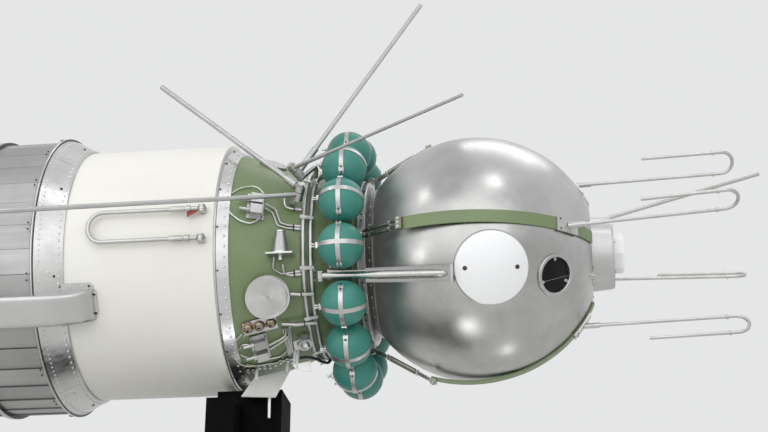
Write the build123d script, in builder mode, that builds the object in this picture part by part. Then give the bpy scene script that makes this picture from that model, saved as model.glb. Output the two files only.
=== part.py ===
# Display model of a crewed spacecraft: a round descent sphere, its instrument section, upper stage and stand.
# Millimetres, +Z up. The body axis lies along +X, towards the nose; the origin is on the floor under the stand.
# A station is a place along the body axis, counted from the datum and positive towards the nose. The centre of
# the sphere is at the datum, or ahead of it by what a larger sphere needs to sit in the neck ring.
# phi turns about the body axis: 0 faces -Y, 90 faces up.

import os
from math import asin, atan2, cos, degrees, radians, sin, sqrt

from build123d import *

os.makedirs("parts", exist_ok=True)

# Place of the body on its stand
AXIS_HEIGHT = 1136.0
DATUM_X = 436.0
SEAT_GAP = 0.3
CONTACT_GAP = 0.1
# How far fittings reach under a curved skin before they are cut to it
SINK = 6.0
# Share of a fold's half width that its corner bends take
FULL_BEND = 0.98

# Descent sphere, its nose and its window
SPHERE_R = 230.0
NOSE_FLAT_R = 92.7
NOSE_R = 69.6
NOSE_TIP_R = 65.8
NOSE_LENGTH = 41.5
NOSE_RIM = 4.0
NOSE_RIM_STEP = 0.8
NOSE_RIM_EDGE = 1.0
NOSE_BLOCK_LENGTH = 19.0
NOSE_BLOCK_ACROSS = 69.0
NOSE_BLOCK_SIDES = 8
NOSE_BLOCK_EDGE = 3.0
PORT_ANGLE = 51.5
PORT_PHI = -32.8
PORT_FRAME_R = 38.0
PORT_GLASS_R = 31.5
PORT_GLASS_THICK = 3.0
PORT_SHELF = 8.0
PORT_DEPTH = 14.0
PORT_PROUD = 2.0
PORT_LEDGE = 3.0
PORT_EDGE = 1.0

# Straps that hold the sphere down on the neck ring: phi, and the angle from the nose at which each one ends
STRAPS = ((-3.3, 121.0), (86.7, 112.0), (176.7, 112.0), (266.7, 112.0))
STRAP_WIDTH = 23.0
STRAP_THICK = 3.0
STRAP_START = 24.5
STRAP_LIFT_ANGLE = 58.0
STRAP_LIFT = 32.0
CLAMP_LENGTH = 12.0
CLAMP_THICK = 6.0
CLAMP_OVERHANG = 2.0
TURNBUCKLE_ROD_R = 2.0
TURNBUCKLE_BODY_R = 4.0
TURNBUCKLE_BODY_SPAN = (0.3, 0.72)
TURNBUCKLE_SPACING = 11.0
LUG_LENGTH = 11.0
LUG_WIDTH = 22.0
LUG_TOP_R = 169.0

# Neck and instrument cone, station and radius of each section
CONE_AFT = (-431.0, 218.0)
CONE_MID = (-300.0, 172.0)
CONE_FRONT = (-262.0, 158.0)
NECK_FRONT = (-208.0, 150.0)
NECK_BORE_R = 136.0
NECK_FLOOR = -238.0
RING_FRONT = -196.0
RING_R = 155.0
RING_SEAT_R = 120.925
RING_EDGE = 2.0

# Ring of gas bottles, in two runs that start on either side of the mast
BOTTLE_R = 41.0
BOTTLE_SPACE = 4.3
BOTTLE_STATION = -230.6
BOTTLE_GAP_PHI = -26.5
BOTTLE_HALF_GAP = 14.0
BOTTLE_STRAP_WIDTH = 8.0
BOTTLE_STRAP_THICK = 0.8
BOTTLE_STRAP_ARCS = ((4.0, 176.0), (18.0, 162.0))
RACK_WIDTH = 22.0
RACK_R = 171.5

# Pipe hoops round the cone
HOOP_STATIONS = (-303.5, -290.5)
HOOP_PIPE_R = 4.5

# Rear flange, white equipment cylinder, conical band and lapped stage
FLANGE_AFT = (-455.0, 229.5)
FLANGE_FRONT_R = 221.0
CYLINDER_AFT = -727.0
CYLINDER_R = 238.0
BAND_AFT = (-773.0, 265.0)
BAND_STEP = 2.5
STAGE_LENGTH = 339.0
STAGE_R = 260.0
STRIP_COUNT = 36
STRIP_LAP = 2.4
HOOP_R = 268.5
HOOP_WIDTH = 12.0
HOOP_EDGE = 2.0
TAIL_LENGTH = 28.0
TAIL_R = 236.0
TAIL_STEP = 14.0

# Motors at the tail
NOZZLE_THROAT_R = 20.0
NOZZLE_WAIST_R = 37.4
NOZZLE_WAIST_AT = 22.0
NOZZLE_MOUTH_R = 52.0
NOZZLE_LENGTH = 62.0
NOZZLE_WALL = 4.0
NOZZLE_FLOOR = 6.0
STEERING_R = 8.0
STEERING_LENGTH = 34.0
STEERING_FLARE = -10.0
STEERING_PITCH_R = 185.0
STEERING_PHIS = (45.0, 135.0, 225.0, 315.0)

# Cable duct: station of its top line and height above the cylinder, from its long flat to its ramp
DUCT_PHI = -33.5
DUCT_WIDTH = 62.0
DUCT_TOP = ((-740.0, 47.0), (-716.0, 40.0), (-690.0, 24.0), (-674.0, 10.0))
DUCT_FRONT = -668.0
DUCT_FRONT_DROP = 6.0
DUCT_DEPTH = 38.0
DUCT_EDGE = 10.0
DUCT_CORNER = 14.0
DUCT_FOOT_LENGTH = 74.0
DUCT_FOOT_WIDTH = 88.0
DUCT_FOOT_THICK = 3.0
DUCT_FOOT_FRONT = -656.0

# Cable mast and the round cover at its end
MAST_PHI = -27.2
MAST_PIVOT_STATION = -272.0
MAST_PIVOT_R = 188.0
MAST_END_ANGLE = 101.54
MAST_END_LIFT = 9.85
MAST_TUBE_R = 5.8
MAST_TUBE_START = 5.0
MAST_SIDE_TUBE_R = 2.2
MAST_SIDE_TUBE_OFFSET = 7.9
MAST_SIDE_TUBE_START = 14.0
MAST_CHANNEL_START = 95.0
MAST_CHANNEL_WIDTH = 24.5
MAST_CHANNEL_THICK = 2.0
MAST_CHANNEL_LIP = 7.0
MAST_CHANNEL_SEAT = 1.5
MAST_STRIP_WIDTH = 21.0
MAST_STRIP_THICK = 3.0
MAST_STRIP_ANGLES = (84.0, 104.0)
MAST_STRIP_LIFT = 2.2
MAST_PIN_R = 3.0
MAST_EYE_R = 7.0
MAST_PAD_LENGTH = 26.0
MAST_PAD_THICK = 3.0
PIN_GAP = 0.05
EAR_THICK = 3.0
EAR_GAP = 0.5
COVER_ANGLE = 81.7
COVER_PHI = -25.8
COVER_R = 65.0
COVER_THICK = 4.5
COVER_LIFT = 5.5

# Folding loop antenna on the white cylinder
LOOP_PHI = -1.8
LOOP_FOOT_STATION = -474.0
LOOP_PIVOT_LIFT = 11.0
LOOP_SPREAD = 56.0
LOOP_LENGTH = 206.0
LOOP_TUBE_R = 4.0
LOOP_PIN_R = 2.0
LOOP_EYE_R = 6.0
LOOP_EYE_WIDTH = 6.0
LOOP_NECK_R = 2.5
LOOP_NECK_START = 4.0
LOOP_NECK_END = 10.0

# Hubs of the whip antennas: pivot station, radius and phi, foot station and phi
HUBS = {
    "aft": (-306.0, 220.0, 16.1, -332.0, 18.0),
    "front": (-319.0, 220.0, 31.5, -332.0, 33.0),
}
# Whips: hub, layer on its pin, angle from the nose, phi, length, radius, sleeve radius, start and end
WHIPS = {
    "whip_rod_1": ("aft", 1, 133.0, 114.3, 450.0, 5.2, 8.0, 10.2, 38.0),
    "whip_rod_2": ("front", -1, 60.4, 100.5, 450.0, 4.3, 6.2, 6.5, 62.0),
    "whip_rod_3": ("front", 1, 46.1, -9.1, 480.0, 2.9, 3.9, 6.5, 105.0),
    "whip_rod_4": ("aft", -1, 138.8, -25.4, 600.0, 4.1, 4.9, 6.5, 30.0),
}
WHIP_PIN_R = 3.5
WHIP_COLLAR_R = 9.0
WHIP_COLLAR_THICK = 12.0
WHIP_COLLAR_GAP = 1.0
WHIP_NUT_R = 7.0
WHIP_START = 6.0
HUB_STRUT_R = 5.0
HUB_FLANGE = 3.0
HUB_PLAY = 0.5
# Bent pipe from the front hub down to the front hoop: station, radius and phi of its knee and its end
HUB_PIPE_KNEE = (-286.0, 208.0, 41.0)
HUB_PIPE_END = (-290.5, 182.0, 44.0)
HUB_PIPE_R = 4.3
HUB_PIPE_BEND = 10.0

# Nose antennas, one on each strap
# phi, angle of the foot from the nose, drift in Y and Z per millimetre forward, leg, return and phi of the fold
HAIRPINS = (
    (-3.3, 43.9, 0.029, 0.079, 277.0, 148.0, 24.0),
    (86.7, 36.6, 0.020, 0.046, 274.0, 147.0, 40.0),
    (176.7, 39.1, 0.000, -0.023, 306.0, 145.0, 150.0),
    (266.7, 36.1, -0.009, 0.026, 274.0, 158.0, -61.0),
)
HAIRPIN_R = 3.3
HAIRPIN_FOLD_R = 22.0
SLEEVE_R = 5.0
SLEEVE_LENGTH = 30.0
COLLAR_R = 4.8
COLLAR_LENGTH = 4.0
COLLAR_SETBACK = 16.0
BRACKET_LEAD = 6.0
BRACKET_SPAN = 12.5
BRACKET_WIDTH = 27.0
BRACKET_THICK = 3.0
# Straight rod at the nose: distance of its foot from the flat, radius and phi, then its angle from the nose
NOSE_ROD_FOOT = (20.5, 66.6, 85.4)
NOSE_ROD_ANGLE = 21.3
NOSE_ROD_PHI = 118.0
NOSE_ROD_LENGTH = 332.0
NOSE_ROD_R = 4.0

# Turned disc on the cone
DISC_AT = (-371.0, -36.0)
DISC_R = 40.0
DISC_THICK = 6.0
DISC_STEM_R = 20.0
DISC_STEM = 8.0
DISC_HOLE_R = 3.0
DISC_HOLE_FLOOR = 2.0

# Horn cup, lying along the girth on an upright flange
HORN_AT = (-340.0, -15.7)
HORN_HEIGHT = 18.0
HORN_HEADING = -9.6
HORN_BASE_R = 16.0
HORN_TIP_R = 8.2
HORN_LENGTH = 41.0
HORN_FLANGE = (48.0, 36.0, 3.0)
HORN_STUB_R = 4.5
HORN_STUB = 9.0

# Valve blocks: station, phi, places of the blocks along the girth; then length, width and height of one block
VALVES = {
    "upper_valve_block": (-388.0, 9.0, (-4.0, 19.0)),
    "lower_valve_blocks": (-394.0, -64.5, (-15.0, 15.0)),
}
VALVE_BLOCK = (21.0, 19.0, 17.0)
VALVE_FOOT_MARGIN = 5.0
VALVE_FOOT_THICK = 3.0
VALVE_STUB_R = 3.2
VALVE_STUB_LENGTH = 30.0
VALVE_STUB_HEIGHT = 9.0
VALVE_BAR_R = 2.4
VALVE_BAR_LEAD = 2.0
VALVE_BAR_INSET = 6.0

# Plate with three shallow domes: station, phi, turn on the cone
DOMES_AT = (-388.0, -51.2)
DOMES_TURN = -5.0
DOMES_PLATE = (62.0, 27.0, 5.0)
DOMES_CORNER = 3.0
DOME_R = 10.2
DOME_SINK = 2.5
DOME_PITCH = 21.0

# Sensor pot, upright on the cone: height and radius of its outline
POT_AT = (-320.0, -65.0)
POT_OUTLINE = (
    (-SINK, 8), (11, 8), (13, 11.5), (26, 11.5), (26, 13.5), (29, 13.5), (29, 8), (34, 7.5), (37, 5), (38, 0)
)

# Round cover plate high on the cone
TOP_COVER_AT = (-375.0, 56.0)
TOP_COVER_R = 27.0
TOP_COVER_THICK = 4.0

# Pipes on the cone: radius, bend radius, then station, phi and height above the cone of each corner
PIPES = (
    (3.4, 6, ((-328, -36.2, 11), (-313, -36.8, 14.0), (-288, -37.6, 14.0))),
    (3.2, 6, ((-349, -52.6, 8), (-324, -54.0, 13.8), (-288, -55.8, 13.8))),
    (2.0, 6, ((-352, -16.1, 12), (-356, -22.4, 2.6), (-343, -25.2, 2.6), (-308.3, -24.4, 2.6))),
    (1.9, 7, ((-370.4, 12.6, 9.5), (-353, 11.4, 2.5), (-343, 3.2, 2.5), (-330, 2.4, 2.5), (-308.3, 2.4, 2.5))),
    (1.9, 7, ((-370.4, 10.0, 9.5), (-358, 9.2, 2.5), (-348, 1.6, 2.5), (-334, 0.6, 2.5), (-308.3, 0.6, 2.5))),
    (1.9, 7, ((-384, -75.6, 2.5), (-366, -77.0, 2.5), (-350, -74.0, 2.5), (-335.5, -54.4, 10.5))),
    (2.0, 9, ((-424, -74.0, 2.6), (-408, -78.0, 2.6), (-380, -81.0, 2.6), (-340, -84.0, 2.6))),
)

# Deflector plates under the cone: corners from the datum; lugs hold the first two corners of each
DEFLECTORS = (
    ((-413.7, -30.0, -226.5), (-350.7, -9.5, -205.5), (-366.0, -70.0, -277.0), (-428.3, -70.0, -273.5)),
    ((-333.6, -50.0, -219.3), (-339.8, -50.0, -211.0), (-307.1, -50.0, -205.0), (-305.8, -50.0, -225.7)),
)
DEFLECTOR_THICK = 2.0
DEFLECTOR_LUG_R = 3.0
DEFLECTOR_LUG_INSET = 0.15

# Stand: a wide post with a deeper fin across it
FIN_X = -17.0
FIN_WIDTH = 50.0
FIN_DEPTH = 260.0
FIN_CLEAR = 54.0
POST_X = 17.5
POST_WIDTH = 119.0
POST_DEPTH = 90.0
POST_CLEAR = 17.0
COLUMN_WALL = 12.0
SADDLE_X = -22.0
SADDLE_Y = 102.5
SADDLE_WIDTH = 40.0
SADDLE_DEPTH = 55.0
SADDLE_TOP_DROP = 205.0
BASE_LENGTH = 620.0
BASE_DEPTH = 560.0
BASE_THICK = 24.0
BASE_CORNER = 20.0
BASE_EDGE = 3.0
BOLT_SPACING_X = 540.0
BOLT_SPACING_Y = 480.0
BOLT_HOLE_R = 5.5

# Sizes that follow from those above
SPHERE_STATION = sqrt((SPHERE_R + SEAT_GAP) ** 2 - RING_SEAT_R**2) + RING_FRONT
NOSE_FLAT = SPHERE_STATION + sqrt(SPHERE_R**2 - NOSE_FLAT_R**2)
NOSE_END = NOSE_FLAT + NOSE_LENGTH
NOSE_BLOCK_END = NOSE_END + NOSE_BLOCK_LENGTH
BAND_FRONT_R = CYLINDER_R + BAND_STEP
STAGE_AFT = BAND_AFT[0] - STAGE_LENGTH
TAIL_AFT = STAGE_AFT - TAIL_LENGTH
BOTTLE_RING_R = RACK_R + SEAT_GAP + BOTTLE_R
BOTTLE_PITCH = degrees(2 * asin((BOTTLE_R + BOTTLE_SPACE / 2) / BOTTLE_RING_R))
BOTTLE_COUNT = 1 + int((360 - 2 * BOTTLE_HALF_GAP) / BOTTLE_PITCH)
FIN_DROP = CYLINDER_R + FIN_CLEAR
POST_DROP = CYLINDER_R + POST_CLEAR

ALONG = Vector(1, 0, 0)
DATUM = Vector(DATUM_X, 0, AXIS_HEIGHT)
SPHERE_CENTRE = DATUM + ALONG * SPHERE_STATION
BODY = Plane(origin=DATUM, x_dir=(1, 0, 0), z_dir=(0, -1, 0))
BODY_AXIS = Axis(DATUM, ALONG)
CONE_SLOPE = degrees(atan2(CONE_AFT[1] - CONE_MID[1], CONE_MID[0] - CONE_AFT[0]))


def outward(phi):
    """Unit vector that points straight out of the body at phi."""
    return Vector(0, -cos(radians(phi)), sin(radians(phi)))


def around(phi):
    """Unit vector along the body's girth, towards growing phi."""
    return Vector(0, sin(radians(phi)), cos(radians(phi)))


def place(station, radius, phi):
    """Point at a station, a radius and phi."""
    return DATUM + ALONG * station + outward(phi) * radius


def lean(angle, phi):
    """Unit vector at an angle from the nose direction, tipped towards phi."""
    return ALONG * cos(radians(angle)) + outward(phi) * sin(radians(angle))


def sphere_plane(angle, radius, phi):
    """Plane square to the sphere's radius at an angle from the nose; its x runs towards the tail."""
    ray = lean(angle, phi)
    return Plane(origin=SPHERE_CENTRE + ray * radius, x_dir=lean(angle + 90, phi), z_dir=ray)


def meridian(phi, origin=SPHERE_CENTRE):
    """Plane through the body axis; its x runs forward from the origin and its y is the radius at phi."""
    return Plane(origin=origin, x_dir=ALONG, z_dir=ALONG.cross(outward(phi)))


def girth(station):
    """Plane across the body that faces the tail; its x points to phi 0 and its y to phi 90."""
    return Plane(origin=DATUM + ALONG * station, x_dir=(0, -1, 0), z_dir=(-1, 0, 0))


def cone_radius(station):
    """Radius of the instrument cone at a station."""
    sections = (CONE_AFT, CONE_MID, CONE_FRONT, NECK_FRONT)
    for (aft, aft_r), (fore, fore_r) in zip(sections[:-1], sections[1:]):
        if station <= fore:
            return aft_r + (fore_r - aft_r) * (station - aft) / (fore - aft)
    return NECK_FRONT[1]


def cone_skin(station, phi):
    """Plane that lies on the cone; its x runs forward down the slope."""
    return Plane(
        origin=place(station, cone_radius(station), phi),
        x_dir=lean(-CONE_SLOPE, phi),
        z_dir=lean(90 - CONE_SLOPE, phi),
    )


def turned(*profile):
    """Solid of revolution about the body axis from pairs of station and radius."""
    with BuildPart() as piece:
        with BuildSketch(BODY):
            with BuildLine():
                Polyline(*profile, close=True)
            make_face()
        revolve(axis=BODY_AXIS)
    return piece.part


def tube(points, pipe_r, bend_r=None):
    """Round pipe along straight runs, joined by arcs of one radius."""
    with BuildPart() as piece:
        with BuildLine() as path:
            if len(points) > 2:
                FilletPolyline(*points, radius=bend_r)
            else:
                Line(*points)
        with BuildSketch(Plane(origin=path.line @ 0, z_dir=path.line % 0)):
            Circle(pipe_r)
        sweep()
    return piece.part


def rod(start, end, radius):
    """Round bar from one point to another."""
    with BuildPart() as piece:
        with BuildSketch(Plane(origin=start, z_dir=end - start)):
            Circle(radius)
        extrude(amount=(end - start).length)
    return piece.part


def arc_band(plane, inner_r, thick, start, end, width, middle=(0, 0)):
    """Curved flat band centred on a plane, from one angle to another about a point of it."""
    with BuildPart() as piece:
        with BuildSketch(plane):
            with BuildLine():
                inner = CenterArc(middle, inner_r, start, end - start)
                outer = CenterArc(middle, inner_r + thick, start, end - start)
                Line(inner @ 0, outer @ 0)
                Line(inner @ 1, outer @ 1)
            make_face()
        extrude(amount=width / 2, both=True)
    return piece.part


def block(plane, length, width, height):
    """Box that stands on a plane."""
    with BuildPart() as piece:
        with BuildSketch(plane):
            Rectangle(length, width)
        extrude(amount=height)
    return piece.part


def sheet(corners, thick):
    """Flat plate through the first, second and last of its corners."""
    first, second, last = corners[0], corners[1], corners[-1]
    plane = Plane(origin=first, x_dir=second - first, z_dir=(second - first).cross(last - first))
    flat = [plane.to_local_coords(corner) for corner in corners]
    with BuildPart() as piece:
        with BuildSketch(plane):
            Polygon(*[(corner.X, corner.Y) for corner in flat], align=None)
        extrude(amount=thick / 2, both=True)
    return piece.part


def save(part, name):
    """Label a finished piece and write it."""
    part.label = name
    export_step(part, f"parts/{name}.step")


# What the cone, the white cylinder and the flange keep clear for the pieces that sit on them
cone_clear = turned(
    (CONE_AFT[0] + SEAT_GAP, 0),
    (CONE_AFT[0] + SEAT_GAP, CONE_AFT[1] + SEAT_GAP),
    (CONE_MID[0], CONE_MID[1] + SEAT_GAP),
    (CONE_FRONT[0], CONE_FRONT[1] + SEAT_GAP),
    (NECK_FRONT[0], NECK_FRONT[1] + SEAT_GAP),
    (NECK_FRONT[0], 0),
)
cylinder_clear = turned(
    (CYLINDER_AFT, 0),
    (CYLINDER_AFT, CYLINDER_R + SEAT_GAP),
    (FLANGE_AFT[0], CYLINDER_R + SEAT_GAP),
    (FLANGE_AFT[0], 0),
)
flange_clear = turned(
    (FLANGE_AFT[0] - SEAT_GAP, 0),
    (FLANGE_AFT[0] - SEAT_GAP, FLANGE_AFT[1] + SEAT_GAP),
    (CONE_AFT[0] + SEAT_GAP, FLANGE_FRONT_R + SEAT_GAP),
    (CONE_AFT[0] + SEAT_GAP, 0),
)

# Base plate of the stand, with its floor bolts
with BuildPart() as stand_base:
    Box(BASE_LENGTH, BASE_DEPTH, BASE_THICK, align=(Align.CENTER, Align.CENTER, Align.MIN))
    fillet(stand_base.edges().filter_by(Axis.Z), BASE_CORNER)
    chamfer(stand_base.faces().sort_by(Axis.Z)[-1].edges(), BASE_EDGE)
    with GridLocations(BOLT_SPACING_X, BOLT_SPACING_Y, 2, 2):
        Hole(BOLT_HOLE_R)
save(stand_base.part, "stand_base")

# Column: a hollow post and fin with closed tops
column_shape = ((FIN_X, FIN_WIDTH, FIN_DEPTH, FIN_DROP), (POST_X, POST_WIDTH, POST_DEPTH, POST_DROP))
with BuildPart() as stand_column:
    for middle, width, depth, drop in column_shape:
        with BuildSketch(Plane.XY.offset(BASE_THICK)):
            with Locations((middle, 0)):
                Rectangle(width, depth)
        extrude(amount=AXIS_HEIGHT - drop - BASE_THICK)
    for middle, width, depth, drop in column_shape:
        with BuildSketch(Plane.XY.offset(BASE_THICK)):
            with Locations((middle, 0)):
                Rectangle(width - 2 * COLUMN_WALL, depth - 2 * COLUMN_WALL)
        extrude(amount=AXIS_HEIGHT - drop - BASE_THICK - COLUMN_WALL, mode=Mode.SUBTRACT)
save(stand_column.part, "stand_column")

# Saddle on the far end of the fin, cut to the underside of the white cylinder, the flange and the cone
with BuildPart() as stand_saddle:
    with BuildSketch(Plane.XY.offset(AXIS_HEIGHT - FIN_DROP)):
        with Locations((SADDLE_X, SADDLE_Y)):
            Rectangle(SADDLE_WIDTH, SADDLE_DEPTH)
    extrude(amount=FIN_DROP - SADDLE_TOP_DROP)
    with BuildSketch(Plane.XY.offset(AXIS_HEIGHT - FIN_DROP)):
        with Locations((POST_X, 0)):
            Rectangle(POST_WIDTH, POST_DEPTH)
    extrude(amount=FIN_DROP - POST_DROP, mode=Mode.SUBTRACT)
    for clear in (cylinder_clear, flange_clear, cone_clear):
        add(clear, mode=Mode.SUBTRACT)
save(stand_saddle.part, "stand_saddle")

# Upper stage: a shell of strips, each one lapped over the next
stage_front = BAND_AFT[0] - HOOP_WIDTH / 2
with BuildPart() as stage_shell:
    with BuildSketch(girth(stage_front)):
        with BuildLine():
            for index in range(STRIP_COUNT):
                bends = [radians(360 * (index + part) / STRIP_COUNT) for part in (0, 0.5, 1)]
                lifts = [STAGE_R, STAGE_R + STRIP_LAP / 2, STAGE_R + STRIP_LAP]
                points = [(lift * cos(bend), lift * sin(bend)) for bend, lift in zip(bends, lifts)]
                ThreePointArc(*points)
                Line(points[-1], (STAGE_R * cos(bends[-1]), STAGE_R * sin(bends[-1])))
        make_face()
    extrude(amount=stage_front - STAGE_AFT)
save(stage_shell.part, "stage_shell")

# Hoops at both ends of the stage
hoop_inner = STAGE_R + STRIP_LAP + SEAT_GAP
with BuildPart() as stage_rear_hoop:
    add(
        turned(
            (STAGE_AFT, hoop_inner),
            (STAGE_AFT, HOOP_R - HOOP_EDGE),
            (STAGE_AFT + HOOP_EDGE, HOOP_R),
            (STAGE_AFT + HOOP_WIDTH - HOOP_EDGE, HOOP_R),
            (STAGE_AFT + HOOP_WIDTH, HOOP_R - HOOP_EDGE),
            (STAGE_AFT + HOOP_WIDTH, hoop_inner),
        )
    )
save(stage_rear_hoop.part, "stage_rear_hoop")

with BuildPart() as stage_front_hoop:
    add(
        turned(
            (stage_front, 0),
            (stage_front, HOOP_R - HOOP_EDGE),
            (stage_front + HOOP_EDGE, HOOP_R),
            (BAND_AFT[0] - HOOP_EDGE, HOOP_R),
            (BAND_AFT[0], HOOP_R - HOOP_EDGE),
            (BAND_AFT[0], 0),
        )
    )
save(stage_front_hoop.part, "stage_front_hoop")

# Tail plate, stepped in from the shell
with BuildPart() as tail_plate:
    add(
        turned(
            (TAIL_AFT, 0),
            (TAIL_AFT, TAIL_R - TAIL_STEP),
            (TAIL_AFT + TAIL_STEP, TAIL_R),
            (STAGE_AFT, TAIL_R),
            (STAGE_AFT, 0),
        )
    )
save(tail_plate.part, "tail_plate")

# Main nozzle, an open bell
with BuildPart() as main_nozzle:
    add(
        turned(
            (TAIL_AFT, 0),
            (TAIL_AFT, NOZZLE_THROAT_R + NOZZLE_WALL),
            (TAIL_AFT - NOZZLE_WAIST_AT, NOZZLE_WAIST_R + NOZZLE_WALL),
            (TAIL_AFT - NOZZLE_LENGTH, NOZZLE_MOUTH_R + NOZZLE_WALL),
            (TAIL_AFT - NOZZLE_LENGTH, NOZZLE_MOUTH_R),
            (TAIL_AFT - NOZZLE_WAIST_AT, NOZZLE_WAIST_R),
            (TAIL_AFT - NOZZLE_FLOOR, NOZZLE_THROAT_R),
            (TAIL_AFT - NOZZLE_FLOOR, 0),
        )
    )
save(main_nozzle.part, "main_nozzle")

# Four steering nozzles near the rim of the tail plate
with BuildPart() as steering_nozzles:
    for phi in STEERING_PHIS:
        with BuildSketch(girth(TAIL_AFT)):
            with Locations((STEERING_PITCH_R * cos(radians(phi)), STEERING_PITCH_R * sin(radians(phi)))):
                Circle(STEERING_R)
        extrude(amount=STEERING_LENGTH, taper=STEERING_FLARE)
save(steering_nozzles.part, "steering_nozzles")

# Riveted band that steps down from the stage to the white cylinder
with BuildPart() as conical_band:
    add(turned((BAND_AFT[0], 0), BAND_AFT, (CYLINDER_AFT, BAND_FRONT_R), (CYLINDER_AFT, 0)))
save(conical_band.part, "conical_band")

# White equipment cylinder
with BuildPart() as equipment_cylinder:
    add(turned((CYLINDER_AFT, 0), (CYLINDER_AFT, CYLINDER_R), (FLANGE_AFT[0], CYLINDER_R), (FLANGE_AFT[0], 0)))
save(equipment_cylinder.part, "equipment_cylinder")

# Riveted flange in front of it
with BuildPart() as cylinder_flange:
    add(turned((FLANGE_AFT[0], 0), FLANGE_AFT, (CONE_AFT[0], FLANGE_FRONT_R), (CONE_AFT[0], 0)))
save(cylinder_flange.part, "cylinder_flange")

# Instrument cone and neck, bored for the back of the sphere
with BuildPart() as instrument_cone:
    add(
        turned(
            (CONE_AFT[0], 0),
            CONE_AFT,
            CONE_MID,
            CONE_FRONT,
            NECK_FRONT,
            (NECK_FRONT[0], NECK_BORE_R),
            (NECK_FLOOR, NECK_BORE_R),
            (NECK_FLOOR, 0),
        )
    )
save(instrument_cone.part, "instrument_cone")

# Neck ring that the sphere sits in
with BuildPart() as neck_ring:
    add(
        turned(
            (NECK_FRONT[0], NECK_BORE_R),
            (NECK_FRONT[0], RING_R),
            (RING_FRONT - RING_EDGE, RING_R),
            (RING_FRONT, RING_R - RING_EDGE),
            (RING_FRONT, RING_SEAT_R),
        )
    )
save(neck_ring.part, "neck_ring")

# Rack ring under the bottles
rack_aft = BOTTLE_STATION - RACK_WIDTH / 2
rack_front = BOTTLE_STATION + RACK_WIDTH / 2
with BuildPart() as bottle_rack:
    add(
        turned(
            (rack_aft, cone_radius(rack_aft) + SEAT_GAP),
            (rack_aft, RACK_R),
            (rack_front, RACK_R),
            (rack_front, cone_radius(rack_front) + SEAT_GAP),
        )
    )
save(bottle_rack.part, "bottle_rack")

# Gas bottles
above = [BOTTLE_GAP_PHI + BOTTLE_HALF_GAP + BOTTLE_PITCH * index for index in range((BOTTLE_COUNT + 1) // 2)]
below = [BOTTLE_GAP_PHI - BOTTLE_HALF_GAP - BOTTLE_PITCH * index for index in range(BOTTLE_COUNT // 2)]
bottle_phis = above + below
with BuildPart() as gas_bottles:
    for phi in bottle_phis:
        with Locations(place(BOTTLE_STATION, BOTTLE_RING_R, phi)):
            Sphere(BOTTLE_R)
save(gas_bottles.part, "gas_bottles")

# Two crossed straps over each bottle
strap_inner = BOTTLE_R + CONTACT_GAP
with BuildPart() as bottle_straps:
    for phi in bottle_phis:
        middle = place(BOTTLE_STATION, BOTTLE_RING_R, phi)
        lengthwise = Plane(origin=middle, x_dir=ALONG, z_dir=ALONG.cross(outward(phi)))
        crosswise = Plane(origin=middle, x_dir=around(phi), z_dir=around(phi).cross(outward(phi)))
        for plane, (start, end) in zip((lengthwise, crosswise), BOTTLE_STRAP_ARCS):
            add(arc_band(plane, strap_inner, BOTTLE_STRAP_THICK, start, end, BOTTLE_STRAP_WIDTH))
save(bottle_straps.part, "bottle_straps")

# Pipe hoops, lying on the cone
with BuildPart() as pipe_hoops:
    for station in HOOP_STATIONS:
        centre_r = cone_radius(station) + (HOOP_PIPE_R + SEAT_GAP) / cos(radians(CONE_SLOPE))
        with BuildSketch(BODY):
            with Locations((station, centre_r)):
                Circle(HOOP_PIPE_R)
        revolve(axis=BODY_AXIS)
save(pipe_hoops.part, "pipe_hoops")

# Cable duct along the stage and over the band, with a ramp and a bolted foot on the white cylinder
duct_aft = STAGE_AFT + HOOP_WIDTH + SEAT_GAP
duct_line = [(station, CYLINDER_R + height) for station, height in DUCT_TOP]
duct_floor_r = CYLINDER_R - DUCT_DEPTH
foot_middle = place(DUCT_FOOT_FRONT - DUCT_FOOT_LENGTH / 2, CYLINDER_R - 2 * SINK, DUCT_PHI)
foot_top_r = CYLINDER_R + SEAT_GAP + DUCT_FOOT_THICK
with BuildPart() as duct_foot:
    with BuildSketch(Plane(origin=foot_middle, x_dir=ALONG, z_dir=outward(DUCT_PHI))):
        foot_outline = Rectangle(DUCT_FOOT_LENGTH, DUCT_FOOT_WIDTH)
        chamfer(foot_outline.vertices().sort_by(Axis.X)[-2:], DUCT_CORNER)
    extrude(amount=CYLINDER_R)
    add(
        turned(
            (CYLINDER_AFT, 0),
            (CYLINDER_AFT, foot_top_r),
            (FLANGE_AFT[0], foot_top_r),
            (FLANGE_AFT[0], 0),
        ),
        mode=Mode.INTERSECT,
    )
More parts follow.
